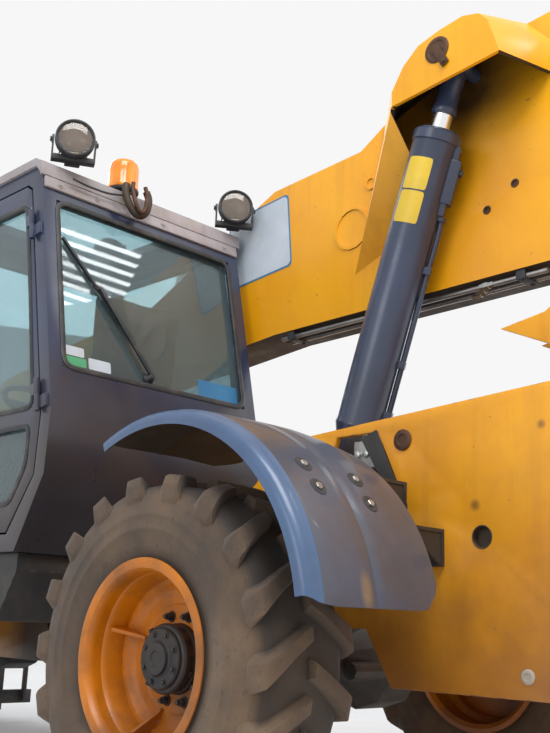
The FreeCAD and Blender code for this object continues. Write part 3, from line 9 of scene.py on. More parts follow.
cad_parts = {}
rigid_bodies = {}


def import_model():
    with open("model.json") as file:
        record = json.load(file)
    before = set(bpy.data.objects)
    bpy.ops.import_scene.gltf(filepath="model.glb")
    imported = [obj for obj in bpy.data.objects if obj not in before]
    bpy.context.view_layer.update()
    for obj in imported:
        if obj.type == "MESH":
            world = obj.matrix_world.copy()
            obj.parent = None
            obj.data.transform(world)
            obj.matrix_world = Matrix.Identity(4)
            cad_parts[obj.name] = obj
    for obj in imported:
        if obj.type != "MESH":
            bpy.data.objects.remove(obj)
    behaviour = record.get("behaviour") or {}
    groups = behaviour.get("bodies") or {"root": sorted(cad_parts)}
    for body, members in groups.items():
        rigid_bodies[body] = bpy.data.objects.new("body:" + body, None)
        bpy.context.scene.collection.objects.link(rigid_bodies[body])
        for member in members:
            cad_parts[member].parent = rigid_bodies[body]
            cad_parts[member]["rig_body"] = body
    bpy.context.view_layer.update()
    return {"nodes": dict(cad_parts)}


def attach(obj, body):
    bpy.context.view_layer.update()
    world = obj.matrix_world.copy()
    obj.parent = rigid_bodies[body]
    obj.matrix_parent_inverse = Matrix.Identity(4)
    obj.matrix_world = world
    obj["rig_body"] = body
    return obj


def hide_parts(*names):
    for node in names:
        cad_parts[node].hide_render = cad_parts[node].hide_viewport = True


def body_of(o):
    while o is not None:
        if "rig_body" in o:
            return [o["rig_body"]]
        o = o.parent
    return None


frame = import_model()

# A telehandler: every piece is in metres, +x forward, +y left, z up, the ground at 0.
nodes = frame["nodes"]
REAR = -1.495
WHEELBASE = 2.3
SIDES = {"left": 1, "right": -1}
AXLES = {"rear": REAR, "front": REAR + WHEELBASE}


# Materials

class Surface:
    """Builds one node material around a Principled shader."""

    def __init__(self, name, **sockets):
        self.material = bpy.data.materials.new(name)
        self.material.use_nodes = True
        self.tree = self.material.node_tree
        self.shader = self.tree.nodes["Principled BSDF"]
        for socket, value in sockets.items():
            self.shader.inputs[socket.replace("_", " ")].default_value = value
        self.coord = self.tree.nodes.new("ShaderNodeTexCoord").outputs["Object"]

    def link(self, out, into):
        self.tree.links.new(out, into)

    def noise(self, scale, detail=5.0, rough=0.6, stretch=None):
        node = self.tree.nodes.new("ShaderNodeTexNoise")
        node.inputs["Scale"].default_value = scale
        node.inputs["Detail"].default_value = detail
        node.inputs["Roughness"].default_value = rough
        source = self.coord
        if stretch:
            mapping = self.tree.nodes.new("ShaderNodeMapping")
            mapping.inputs["Scale"].default_value = stretch
            self.link(self.coord, mapping.inputs["Vector"])
            source = mapping.outputs["Vector"]
        self.link(source, node.inputs["Vector"])
        return node.outputs["Fac"]

    def ramp(self, value, low, high, to=(0.0, 1.0)):
        node = self.tree.nodes.new("ShaderNodeMapRange")
        node.clamp = True
        for socket, number in (("From Min", low), ("From Max", high), ("To Min", to[0]), ("To Max", to[1])):
            node.inputs[socket].default_value = number
        self.link(value, node.inputs["Value"])
        return node.outputs["Result"]

    def mix(self, factor, first, second, blend="MIX"):
        node = self.tree.nodes.new("ShaderNodeMix")
        node.data_type = "RGBA"
        node.blend_type = blend
        for socket, value in ((node.inputs["Factor"], factor), (node.inputs[6], first), (node.inputs[7], second)):
            if isinstance(value, bpy.types.NodeSocket):
                self.link(value, socket)
            else:
                socket.default_value = (*value, 1.0) if isinstance(value, tuple) else value
        return node.outputs[2]

    def math(self, kind, first, second):
        node = self.tree.nodes.new("ShaderNodeMath")
        node.operation = kind
        for socket, value in zip(node.inputs, (first, second)):
            if isinstance(value, bpy.types.NodeSocket):
                self.link(value, socket)
            else:
                socket.default_value = value
        return node.outputs[0]

    def height(self, low, high):
        split = self.tree.nodes.new("ShaderNodeSeparateXYZ")
        self.link(self.coord, split.inputs[0])
        return self.ramp(split.outputs["Z"], low, high, (1.0, 0.0))

    def along_x(self, low, high):
        split = self.tree.nodes.new("ShaderNodeSeparateXYZ")
        self.link(self.coord, split.inputs[0])
        return self.ramp(split.outputs["X"], low, high)

    def near(self, centre, reach, flatten=(1.0, 1.0, 1.0)):
        """1 at a point, falling to 0 at a distance."""
        offset = self.tree.nodes.new("ShaderNodeVectorMath")
        offset.operation = "SUBTRACT"
        offset.inputs[1].default_value = centre
        self.link(self.coord, offset.inputs[0])
        scaled = self.tree.nodes.new("ShaderNodeVectorMath")
        scaled.operation = "MULTIPLY"
        scaled.inputs[1].default_value = flatten
        self.link(offset.outputs["Vector"], scaled.inputs[0])
        size = self.tree.nodes.new("ShaderNodeVectorMath")
        size.operation = "LENGTH"
        self.link(scaled.outputs["Vector"], size.inputs[0])
        return self.ramp(size.outputs["Value"], reach * 0.3, reach, (1.0, 0.0))

    def edge(self):
        """Wear along bevelled edges, broken up by noise."""
        node = self.tree.nodes.new("ShaderNodeAttribute")
        node.attribute_name = "edge_wear"
        return self.math("MULTIPLY", node.outputs["Fac"], self.ramp(self.noise(26, 7, 0.7), 0.5, 0.62))

    def colour(self, out):
        self.link(out, self.shader.inputs["Base Color"])

    def roughness(self, low, high, scale=7):
        self.link(self.ramp(self.noise(scale, 6), 0.3, 0.7, (low, high)), self.shader.inputs["Roughness"])

    def bump(self, strength, scale, distance=0.002, detail=4.0, stretch=None):
        node = self.tree.nodes.new("ShaderNodeBump")
        node.inputs["Strength"].default_value = strength
        node.inputs["Distance"].default_value = distance
        self.link(self.noise(scale, detail, stretch=stretch), node.inputs["Height"])
        self.link(node.outputs["Normal"], self.shader.inputs["Normal"])


def painted(name, colour, shade, dust=(0.30, 0.24, 0.17), dirt=0.35, gloss=(0.28, 0.5), coat=0.25, chip=(0.10, 0.08, 0.07),
            low=(0.35, 1.3), local=False, under_cab_shade=None, hood_shadow=None, foot=None, marks=()):
    """Sprayed steel: cloudy colour, runs, dust that gathers low down (on the frame also painted shade), chips and worn
    edges; options add painted shade at the foot, under the cab and round the lift hood.
    """
    surface = Surface(name, Coat_Weight=coat, Coat_Roughness=0.2)
    tone = surface.mix(surface.ramp(surface.noise(2.2, 8, 0.6), 0.35, 0.68), colour, shade)
    runs = surface.ramp(surface.noise(5.0, 4, 0.6, (2.2, 2.2, 0.16)), 0.52, 0.75, (0.0, 0.35))
    tone = surface.mix(runs, tone, tuple(part * 0.62 for part in shade))
    # dust that gathers low down; on the frame it also serves as painted shade low down
    dust_and_shade = surface.ramp(surface.noise(3.4, 9, 0.68), 0.46, 0.72, (0.0, dirt))
    if not local:
        dust_and_shade = surface.math("MULTIPLY", dust_and_shade, surface.math("ADD", surface.height(*low), 0.25))
    tone = surface.mix(dust_and_shade, tone, dust)
    # painted shade: a darker band towards the bottom, broken up by noise
    if foot:
        foot_shade = surface.math("MULTIPLY", surface.height(*foot[0]), surface.ramp(surface.noise(2.0, 6, 0.6), 0.3, 0.6, (0.65, 1.0)))
        tone = surface.mix(surface.math("MULTIPLY", foot_shade, foot[1]), tone, foot[2])
    for spot, reach in marks:
        smudge = surface.math("MULTIPLY", surface.near(spot, reach), 0.7)
        tone = surface.mix(smudge, tone, (0.10, 0.045, 0.012))
    chips = surface.ramp(surface.noise(48, 3, 0.5), 0.735, 0.75)
    tone = surface.mix(surface.math("MAXIMUM", surface.math("MULTIPLY", chips, 0.5), surface.edge()), tone, chip)
    # painted shadow: a dark brown patch round a point, where the lift hood casts its shadow
    if hood_shadow:
        hood_shadow_mask = surface.math("MULTIPLY", surface.near(*hood_shadow), surface.ramp(surface.noise(4.5, 8, 0.7), 0.2, 0.55, (0.72, 0.97)))
        tone = surface.mix(hood_shadow_mask, tone, (0.050, 0.026, 0.012))
    # painted shade: a near-black band along x, under the cab between the wheels
    if under_cab_shade:
        under_cab_mask = surface.math("MULTIPLY", surface.along_x(*under_cab_shade[0]), surface.math("SUBTRACT", 1.0, surface.along_x(*under_cab_shade[1])))
        under_cab_mask = surface.math("MULTIPLY", under_cab_mask, surface.ramp(surface.noise(2.6, 8, 0.7), 0.25, 0.5, (0.8, 1.0)))
        tone = surface.mix(under_cab_mask, tone, (0.040, 0.034, 0.029))
    surface.colour(tone)
    surface.roughness(*gloss)
    surface.bump(0.12, 150, 0.001)
    return surface.material


def moulded(name, colour, shade, gloss=(0.45, 0.65), dirt=0.25, dust=(0.34, 0.29, 0.22), grain=420, sheen=0.0, coat=0.0,
            dusty=None):
    """Plastic or rubber with a fine moulded grain and a film of dust."""
    surface = Surface(name, Sheen_Weight=sheen, Coat_Weight=coat)
    tone = surface.mix(surface.ramp(surface.noise(3.0, 8, 0.62), 0.36, 0.66), colour, shade)
    tone = surface.mix(surface.ramp(surface.noise(6.5, 10, 0.7), 0.5, 0.74, (0.0, dirt)), tone, dust)
    if dusty:
        dried = surface.math("MULTIPLY", surface.near(*dusty), surface.ramp(surface.noise(22, 6), 0.3, 0.6, (0.5, 0.9)))
        tone = surface.mix(dried, tone, (0.26, 0.175, 0.095))
    surface.colour(surface.mix(surface.edge(), tone, tuple(min(1.0, part * 1.7 + 0.03) for part in colour)))
    surface.roughness(*gloss, 9)
    surface.bump(0.16, grain, 0.0006)
    return surface.material


def metal(name, colour, shade, gloss=(0.25, 0.45), stretch=None, metallic=1.0, scale=30):
    """Bare, plated or cast metal with tarnish and fine tool marks."""
    surface = Surface(name, Metallic=metallic)
    tone = surface.mix(surface.ramp(surface.noise(9, 8, 0.7), 0.4, 0.7), colour, shade)
    surface.colour(surface.mix(surface.ramp(surface.noise(36, 4), 0.62, 0.7, (0.0, 0.5)), tone,
                               tuple(part * 0.5 for part in shade)))
    surface.roughness(*gloss, 14)
    surface.bump(0.2, scale, 0.0006, stretch=stretch)
    return surface.material


def rubber_tread():
    """Tyre rubber under a brown film of dried dust, with painted shade darkening the tread between the lugs."""
    surface = Surface("tyre_rubber", Sheen_Weight=0.1, Sheen_Roughness=0.6)
    tone = surface.mix(surface.ramp(surface.noise(7, 9, 0.7), 0.34, 0.66), (0.050, 0.032, 0.020), (0.108, 0.067, 0.039))
    tone = surface.mix(surface.ramp(surface.noise(2.4, 6, 0.6), 0.45, 0.68, (0.0, 0.85)), tone, (0.185, 0.115, 0.064))
    tone = surface.mix(surface.ramp(surface.noise(60, 4, 0.6), 0.6, 0.72, (0.0, 0.6)), tone, (0.028, 0.022, 0.019))
    below = surface.near((0, 0, 0), 0.512, (1.0, 0.0, 1.0))
    split = surface.tree.nodes.new("ShaderNodeSeparateXYZ")
    surface.link(surface.coord, split.inputs[0])
    middle = surface.ramp(surface.math("ABSOLUTE", split.outputs["Y"], 0.0), 0.140, 0.160, (1.0, 0.0))
    # painted shade: the carcass between the lugs, below their height, is darkened
    groove_shade = surface.math("MULTIPLY", surface.ramp(below, 0.035, 0.075, (0.0, 0.78)), middle)
    tone = surface.mix(groove_shade, tone, (0.020, 0.016, 0.014))
    surface.colour(tone)
    surface.roughness(0.72, 0.95)
    surface.bump(0.35, 90, 0.0016, 8)
    return surface.material


def glass(name, tint, film=0.05):
    """Tinted safety glass under a thin film of dust."""
    surface = Surface(name, Roughness=0.02, IOR=1.45)
    surface.shader.inputs["Transmission Weight"].default_value = 0.86
    surface.colour(surface.mix(surface.ramp(surface.noise(4, 6), 0.4, 0.7, (0.0, 0.5)), tint,
                               tuple(part * 0.82 for part in tint)))
    surface.link(surface.ramp(surface.noise(5.5, 9, 0.7), 0.45, 0.8, (0.015, film)), surface.shader.inputs["Roughness"])
    surface.bump(0.02, 3.0, 0.001, 1.0)
    return surface.material


def woven(name, colour, shade):
    """A coarse upholstery weave of crossing threads."""
    surface = Surface(name, Sheen_Weight=0.15, Sheen_Roughness=0.5)
    waves = []
    for direction in ("X", "Y", "Z"):
        node = surface.tree.nodes.new("ShaderNodeTexWave")
        node.bands_direction = direction
        node.inputs["Scale"].default_value = 95
        node.inputs["Distortion"].default_value = 1.2
        surface.link(surface.coord, node.inputs["Vector"])
        waves.append(node.outputs["Fac"])
    weave = surface.math("MAXIMUM", surface.math("MULTIPLY", waves[0], waves[1]), surface.math("MULTIPLY", waves[1], waves[2]))
    tone = surface.mix(weave, shade, colour)
    surface.colour(surface.mix(surface.ramp(surface.noise(5, 7), 0.45, 0.75, (0, 0.4)), tone, (0.16, 0.14, 0.12)))
    surface.roughness(0.75, 0.95)
    node = surface.tree.nodes.new("ShaderNodeBump")
    node.inputs["Strength"].default_value = 0.5
    node.inputs["Distance"].default_value = 0.0012
    surface.link(weave, node.inputs["Height"])
    surface.link(node.outputs["Normal"], surface.shader.inputs["Normal"])
    return surface.material


YELLOW = painted("yellow_paint", (0.96, 0.430, 0.004), (0.86, 0.345, 0.003), dust=(0.44, 0.22, 0.055), dirt=0.3)
# Boom paint, with painted shadow of the lift hood darkening its side round the lift head.
BOOM_YELLOW = painted("boom_paint", (0.96, 0.430, 0.004), (0.86, 0.345, 0.003), dust=(0.44, 0.22, 0.055), dirt=0.3,
                      hood_shadow=((-1.86, -0.075, 2.60), 0.40, (1.0, 2.4, 1.35)))
# Frame paint: the heavy dust low down is partly painted shade, the dark orange band at the foot is painted shade, and
# the near-black band between the wheels is painted shade under the cab.
FRAME_YELLOW = painted("frame_paint", (0.96, 0.430, 0.004), (0.84, 0.325, 0.003), dust=(0.36, 0.15, 0.040), dirt=0.85,
                       low=(0.35, 1.10), under_cab_shade=((REAR + 0.36, REAR + 0.60), (REAR + 1.70, REAR + 1.95)),
                      foot=((0.50, 1.16), 0.86, (0.30, 0.108, 0.024)),
                      marks=(((REAR - 0.638, 0.29, 0.984), 0.022), ((REAR - 0.861, 0.29, 1.201), 0.018)))
RIM_PAINT = painted("rim_paint", (0.66, 0.195, 0.001), (0.34, 0.092, 0.001), dust=(0.12, 0.055, 0.022), dirt=0.9, gloss=(0.36, 0.56),
                    coat=0.10, local=True)
# Near-black brown for dark parts and grime, and for painted shade in the lift hood's cavity, under the booms and inside
# the fenders.
GRIME_AND_SHADE = painted("dark_grime_and_shade", (0.030, 0.022, 0.016), (0.060, 0.036, 0.018), dust=(0.13, 0.075, 0.035), dirt=0.6, gloss=(0.5, 0.8),
                coat=0.0)
# Cab paint: darker and browner low down, dust plus painted shade at the foot.
FRAME_DARK = painted("cab_paint", (0.028, 0.040, 0.088), (0.019, 0.027, 0.058), dirt=0.95, gloss=(0.26, 0.42),
                     dust=(0.050, 0.038, 0.030), low=(1.05, 1.75), foot=((1.12, 1.56), 0.75, (0.046, 0.034, 0.026)))
BARREL_DARK = painted("barrel_paint", (0.040, 0.054, 0.100), (0.027, 0.036, 0.066), dirt=0.2, gloss=(0.24, 0.4),
                      dust=(0.15, 0.12, 0.10))
BLACK = painted("black_paint", (0.020, 0.021, 0.024), (0.034, 0.032, 0.031), dust=(0.11, 0.085, 0.062), dirt=0.6, gloss=(0.4, 0.62),
                coat=0.05)
ROOF = painted("roof_paint", (0.42, 0.385, 0.41), (0.30, 0.26, 0.25), dust=(0.22, 0.14, 0.085), dirt=0.75, low=(1.5, 2.6))
# Fender plastic: dark, its blue tint partly a painted sheen; the outer lip is bluer still as a painted sheen.
FENDER = moulded("fender_plastic", (0.078, 0.094, 0.138), (0.058, 0.066, 0.088), (0.30, 0.46), 0.35, (0.135, 0.115, 0.100), coat=0.2,
                 dusty=((REAR - 0.648, 0.790, 0.716), 0.062, (1.0, 2.3, 1.0)))
FENDER_LIP_SHEEN = moulded("fender_lip_sheen", (0.070, 0.130, 0.245), (0.050, 0.092, 0.180), (0.28, 0.42), 0.20, (0.16, 0.14, 0.13), coat=0.2)
PLASTIC = moulded("dark_plastic", (0.022, 0.024, 0.028), (0.034, 0.035, 0.038))
TYRE = rubber_tread()
GLASS = glass("tinted_glass", (0.40, 0.53, 0.56))
LENS = glass("lamp_lens", (0.62, 0.56, 0.50), 0.2)
CHROME = metal("chrome_rod", (0.90, 0.91, 0.93), (0.78, 0.79, 0.81), (0.20, 0.30))
STEEL = metal("bare_steel", (0.52, 0.51, 0.50), (0.36, 0.34, 0.32), (0.32, 0.5), (1, 12, 1))
RUST = metal("rusted_pin", (0.115, 0.052, 0.026), (0.050, 0.026, 0.017), (0.5, 0.8), None, 0.35, 60)
FITTING = metal("plated_fitting", (0.50, 0.50, 0.49), (0.28, 0.28, 0.27), (0.26, 0.45))
HUB = metal("hub_casting", (0.030, 0.029, 0.030), (0.060, 0.050, 0.044), (0.38, 0.62), None, 0.35, 80)
CAST = metal("cast_block", (0.13, 0.13, 0.135), (0.09, 0.085, 0.08), (0.55, 0.75), None, 0.5, 120)
FORK_STEEL = metal("fork_steel", (0.060, 0.058, 0.058), (0.16, 0.14, 0.125), (0.4, 0.6), (1, 8, 8), 0.6)
REFLECTOR = metal("reflector", (0.52, 0.44, 0.36), (0.30, 0.24, 0.19), (0.12, 0.28), None, 1.0, 60)
PALE_CAP = moulded("pale_cap", (0.42, 0.37, 0.30), (0.34, 0.28, 0.21), (0.5, 0.7), 0.4)
FABRIC = woven("seat_fabric", (0.034, 0.035, 0.039), (0.012, 0.0125, 0.014))
LABEL_YELLOW = moulded("label_yellow", (0.86, 0.60, 0.04), (0.70, 0.46, 0.04), (0.35, 0.5), 0.45, (0.45, 0.34, 0.12))
LABEL_WHITE = moulded("label_white", (0.62, 0.68, 0.74), (0.50, 0.56, 0.62), (0.3, 0.45), 0.25)
LABEL_GREEN = moulded("label_green", (0.08, 0.42, 0.20), (0.06, 0.34, 0.16), (0.3, 0.45), 0.15)
LABEL_BLUE = moulded("label_blue", (0.05, 0.22, 0.42), (0.04, 0.17, 0.34), (0.3, 0.45), 0.15)
RED_LENS = moulded("red_lens", (0.52, 0.02, 0.02), (0.36, 0.015, 0.015), (0.12, 0.22), 0.1, coat=0.6)


def amber():
    """Ribbed amber beacon plastic that lets light through."""
    surface = Surface("amber_plastic", Roughness=0.18, IOR=1.49, Coat_Weight=0.5)
    surface.shader.inputs["Transmission Weight"].default_value = 0.35
    surface.shader.inputs["Subsurface Weight"].default_value = 0.5
    surface.shader.inputs["Emission Color"].default_value = (1.0, 0.27, 0.008, 1)
    surface.shader.inputs["Emission Strength"].default_value = 0.22
    surface.shader.inputs["Subsurface Radius"].default_value = (0.05, 0.02, 0.004)
    surface.colour(surface.mix(surface.ramp(surface.noise(14, 5), 0.35, 0.7), (1.0, 0.36, 0.010), (0.88, 0.27, 0.008)))
    surface.bump(0.12, 60, 0.0008, 2, (1, 1, 0.1))
    return surface.material


AMBER = amber()


# Mesh helpers

def finished(name, mesh, material, body, stands_for=(), smooth=35):
    """Makes an object of a mesh, shades it and sets what it rides on and replaces."""
    mesh.materials.clear()
    mesh.materials.append(material)
    piece = bpy.data.objects.new(name, mesh)
    bpy.context.scene.collection.objects.link(piece)
    if smooth is not None:
        mesh.shade_smooth()
        if smooth < 180:
            mark = bmesh.new()
            mark.from_mesh(mesh)
            for edge in mark.edges:
                if len(edge.link_faces) == 2 and edge.calc_face_angle() > math.radians(smooth):
                    edge.smooth = False
            mark.to_mesh(mesh)
            mark.free()
    if body:
        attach(piece, body)
    if stands_for:
        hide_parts(*stands_for)
    return piece


def partly(piece, material, test):
    """Gives the faces that pass a test a second material."""
    piece.data.materials.append(material)
    last = len(piece.data.materials) - 1
    for face in piece.data.polygons:
        if test(face.center, face.normal):
            face.material_index = last


def to_mesh(name, work):
    mesh = bpy.data.meshes.new(name)
    work.to_mesh(mesh)
    work.free()
    return mesh


def softened(node, material, width=0.003, segments=2, name=None, angle=28):
    """A copy of a CAD node with its hard edges rounded, which stands for it."""
    source = nodes[node]
    work = bmesh.new()
    work.from_mesh(source.data)
    bmesh.ops.remove_doubles(work, verts=work.verts, dist=1e-5)
    bmesh.ops.dissolve_limit(work, angle_limit=math.radians(1.5), verts=work.verts, edges=work.edges)
    hard = [edge for edge in work.edges
            if len(edge.link_faces) == 2 and math.radians(angle) < edge.calc_face_angle(0) < math.radians(165)]
    layer = work.verts.layers.float.new("edge_wear")
    result = bmesh.ops.bevel(work, geom=hard, offset=width, segments=segments, profile=0.6, affect="EDGES",
                             clamp_overlap=True)
    bevel_faces = set(result["faces"])
    for vert in result["verts"]:
        if vert.is_valid and all(face in bevel_faces for face in vert.link_faces):
            vert[layer] = 1.0
    bmesh.ops.triangulate(work, faces=[face for face in work.faces if len(face.verts) > 4])
    mesh = to_mesh(name or node + "_steel", work)
    return finished(name or node + "_steel", mesh, material, body_of(source)[0], (node,), 32)


def bar(work, low, high, matrix=None, bevel=0.0):
    """Adds a box between two corners to a working mesh, its edges eased."""
    made = bmesh.ops.create_cube(work, size=1.0)
    size = [b - a for a, b in zip(low, high)]
    middle = Vector([(a + b) / 2 for a, b in zip(low, high)])
    for vert in made["verts"]:
        vert.co = Vector([c * s for c, s in zip(vert.co, size)]) + middle
    if bevel:
        edges = {edge for vert in made["verts"] for edge in vert.link_edges}
        result = bmesh.ops.bevel(work, geom=list(edges), offset=bevel, segments=2, profile=0.6, affect="EDGES")
        verts = {v for f in result["faces"] for v in f.verts} | {v for v in made["verts"] if v.is_valid}
    else:
        verts = set(made["verts"])
    if matrix:
        for vert in verts:
            vert.co = matrix @ vert.co
    return verts


def turned(work, rows, segments=48, matrix=None, start=0.0, finish=360.0):
    """Adds a turned form about the local z axis to a working mesh, from rows of (radius, height)."""
    whole = finish - start >= 360
    count = segments if whole else segments + 1
    rings = []
    for radius, height in rows:
        if radius < 1e-6:
            rings.append([work.verts.new((0, 0, height))])
            continue
        ring = []
        for index in range(count):
            angle = math.radians(start + (finish - start) * index / segments)
            ring.append(work.verts.new((radius * math.cos(angle), radius * math.sin(angle), height)))
        rings.append(ring)
    for here, there in zip(rings, rings[1:]):
        for index in range(count if whole else count - 1):
            after = (index + 1) % count
            corners = [here[index % len(here)], here[after % len(here)], there[after % len(there)], there[index % len(there)]]
            unique = list(dict.fromkeys(corners))
            if len(unique) > 2:
                work.faces.new(unique)
    if matrix:
        for ring in rings:
            for vert in ring:
                vert.co = matrix @ vert.co
    return rings


def tidy(work):
    bmesh.ops.recalc_face_normals(work, faces=work.faces)
    return work


def along(start, finish):
    """A matrix whose z axis runs from start towards finish."""
    direction = (Vector(finish) - Vector(start)).normalized()
    return Matrix.Translation(start) @ direction.to_track_quat("Z", "Y").to_matrix().to_4x4()


def bolt(work, matrix, radius=0.011, height=0.009, washer=True):
    """A hexagon bolt head on a washer, standing on the local xy plane."""
    if washer:
        turned(work, [(0, 0.0), (radius * 1.7, 0.0), (radius * 1.7, 0.0022), (0, 0.0022)], 20, matrix)
    turned(work, [(0, 0.001), (radius, 0.001), (radius, height * 0.85), (radius * 0.86, height), (0, height)], 6, matrix)


def tube(name, points, radius, material, body, resolution=4, cyclic=False):
    """A round pipe, rail or hose through the given points."""
    curve = bpy.data.curves.new(name, "CURVE")
    curve.dimensions = "3D"
    curve.bevel_depth = radius
    curve.bevel_resolution = resolution
    curve.resolution_u = 8
    curve.use_fill_caps = True
    spline = curve.splines.new("BEZIER")
    spline.bezier_points.add(len(points) - 1)
    for point, place in zip(spline.bezier_points, points):
        point.co = place
        point.handle_left_type = point.handle_right_type = "AUTO"
    spline.use_cyclic_u = cyclic
    curve.materials.append(material)
    piece = bpy.data.objects.new(name, curve)
    bpy.context.scene.collection.objects.link(piece)
    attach(piece, body)
    return piece


# Wheels: tyre, rim and hub drawn once about the axle, outboard along +z, then set at four places

def wheel_meshes():
    return {"tyre": tyre_mesh(), "rim": rim_mesh(), "hub": hub_mesh()}


def tyre_mesh():
    """A lugged traction tyre: crowned carcass, bead ridges, a sidewall ring and two rows of tapered lugs."""
    work = bmesh.new()
    half = [(0.2545, 0.1490), (0.262, 0.1500), (0.281, 0.1500), (0.286, 0.1530), (0.296, 0.1545), (0.304, 0.1580),
            (0.330, 0.1640), (0.352, 0.1675), (0.356, 0.1694), (0.364, 0.1694), (0.368, 0.1676), (0.392, 0.1690),
            (0.396, 0.1698), (0.401, 0.1698), (0.405, 0.1685), (0.430, 0.1660), (0.452, 0.1600), (0.468, 0.1520),
            (0.480, 0.1380), (0.486, 0.1150), (0.488, 0.0700), (0.488, 0.0200)]
    rows = half + [(radius, -across) for radius, across in reversed(half)]
    turned(work, rows, 112)
    profile = [  # across, top radius, foot radius, half width at the top, half width at the foot
        (0.002, 0.5199, 0.478, 0.0190, 0.0300), (0.050, 0.5199, 0.478, 0.0205, 0.0330),
        (0.100, 0.5188, 0.477, 0.0235, 0.0380), (0.140, 0.5165, 0.472, 0.0275, 0.0440),
        (0.162, 0.5100, 0.460, 0.0310, 0.0480), (0.1698, 0.487, 0.443, 0.0320, 0.0480),
        (0.1699, 0.448, 0.426, 0.0250, 0.0360)]
    pairs = 18
    for index in range(pairs):
        for sign, shift in ((1, 0.0), (-1, 0.5)):
            base = math.tau * (index + shift) / pairs
            rings = []
            for across, top, foot, narrow, wide in profile:
                lean = base - 0.215 * (across / 0.17) ** 1.12
                foot_across = min(across, 0.158)
                ring = []
                for radius, width, y in ((foot, wide, foot_across), (top, narrow, across), (top, -narrow, across),
                                         (foot, -wide, foot_across)):
                    angle = lean + width / radius
                    ring.append(work.verts.new((radius * math.sin(angle), radius * math.cos(angle), sign * y)))
                rings.append(ring)
            made = [work.faces.new(rings[0]), work.faces.new(rings[-1])]
            for here, there in zip(rings, rings[1:]):
                for a, b in ((0, 1), (1, 2), (2, 3)):
                    made.append(work.faces.new((here[a], here[b], there[b], there[a])))
            tops = {vert for ring in rings for vert in ring[1:3]}
            crests = {edge for vert in tops for edge in vert.link_edges
                      if edge.other_vert(vert) in tops and len(edge.link_faces) == 2}
            bmesh.ops.bevel(work, geom=list(crests), offset=0.0045, segments=2, profile=0.6, affect="EDGES")
    return to_mesh("tyre_form", tidy(work))


def rim_mesh():
    """A deep dished steel rim with rolled lips, an inner step ring, a disc, gussets and a valve."""
    work = bmesh.new()
    outer = [(0.2385, 0.1400), (0.2405, 0.1560), (0.2480, 0.1660), (0.2620, 0.1690), (0.2760, 0.1670), (0.2770, 0.1630),
             (0.2700, 0.1600), (0.2560, 0.1520), (0.2535, 0.1480), (0.2535, 0.1000), (0.2300, 0.0800), (0.2300, -0.0600),
             (0.2535, -0.0800), (0.2535, -0.1480), (0.2770, -0.1600), (0.2770, -0.1690), (0.2600, -0.1690),
             (0.2440, -0.1560), (0.2440, -0.0740), (0.2230, -0.0560), (0.2230, -0.0040), (0.2050, 0.0000),
             (0.0990, 0.0000), (0.0990, 0.0160), (0.1500, 0.0160), (0.1560, 0.0200), (0.1840, 0.0200), (0.1960, 0.0250),
             (0.2060, 0.0370), (0.2110, 0.0430), (0.2230, 0.0445), (0.2245, 0.0700), (0.2320, 0.0940), (0.2350, 0.1080),
             (0.2385, 0.1120)]
    turned(work, outer + outer[:1], 112)
    for index in range(4):
        angle = math.tau * index / 4 + 0.35
        spin = Matrix.Rotation(angle, 4, "Z")
        corners = [(0.150, 0.016), (0.2235, 0.0430), (0.2235, 0.104), (0.214, 0.108), (0.160, 0.036), (0.150, 0.030)]
        rings = [[work.verts.new(spin @ Vector((radius, side, height))) for radius, height in corners]
                 for side in (-0.005, 0.005)]
        work.faces.new(rings[0])
        work.faces.new(rings[1])
        for here in range(len(corners)):
            after = (here + 1) % len(corners)
            work.faces.new((rings[0][here], rings[0][after], rings[1][after], rings[1][here]))
    valve = Matrix.Rotation(2.1, 4, "Z") @ Matrix.Translation((0.2265, 0, 0.060)) @ Matrix.Rotation(-0.6, 4, "Y")
    turned(work, [(0, 0), (0.007, 0), (0.007, 0.018), (0.0045, 0.022), (0.0045, 0.036), (0, 0.036)], 14, valve)
    return to_mesh("rim_form", tidy(work))


def hub_mesh():
    """A planetary hub: flange with wheel nuts, stepped drum, bolted cover and a centre cap."""
    work = bmesh.new()
    turned(work, [(0, -0.046), (0.108, -0.046), (0.129, -0.001), (0.0975, -0.001), (0.0975, 0.030), (0.0940, 0.034),
                  (0.0940, 0.050), (0.0975, 0.054), (0.0975, 0.066), (0.0930, 0.072), (0.0850, 0.075), (0.0850, 0.082),
                  (0.0810, 0.087), (0.0520, 0.0885), (0.0470, 0.092), (0.0440, 0.1005), (0.0220, 0.1015),
                  (0.0200, 0.0985), (0, 0.0985)], 96)
    for index in range(10):
        angle = math.tau * index / 10
        place = Matrix.Translation((0.1225 * math.cos(angle), 0.1225 * math.sin(angle), 0.0162))
        turned(work, [(0, 0), (0.0165, 0), (0.0150, 0.004), (0, 0.004)], 20, place)
        turned(work, [(0, 0.003), (0.0118, 0.003), (0.0118, 0.018), (0.0104, 0.020), (0, 0.020)], 6, place)
        turned(work, [(0, 0.018), (0.0066, 0.018), (0.0066, 0.029), (0.0056, 0.030), (0, 0.030)], 12, place)
    for index in range(8):
        angle = math.tau * (index + 0.5) / 8
        bolt(work, Matrix.Translation((0.068 * math.cos(angle), 0.068 * math.sin(angle), 0.0868)), 0.0072, 0.0075)
    for angle in (0.4, 0.4 + math.pi):
        plug = Matrix.Rotation(angle, 4, "Z") @ Matrix.Translation((0.0935, 0, 0.042)) @ Matrix.Rotation(math.pi / 2, 4, "Y")
        turned(work, [(0, 0), (0.009, 0), (0.009, 0.005), (0.0075, 0.0065), (0, 0.0065)], 6, plug)
    return to_mesh("hub_form", tidy(work))


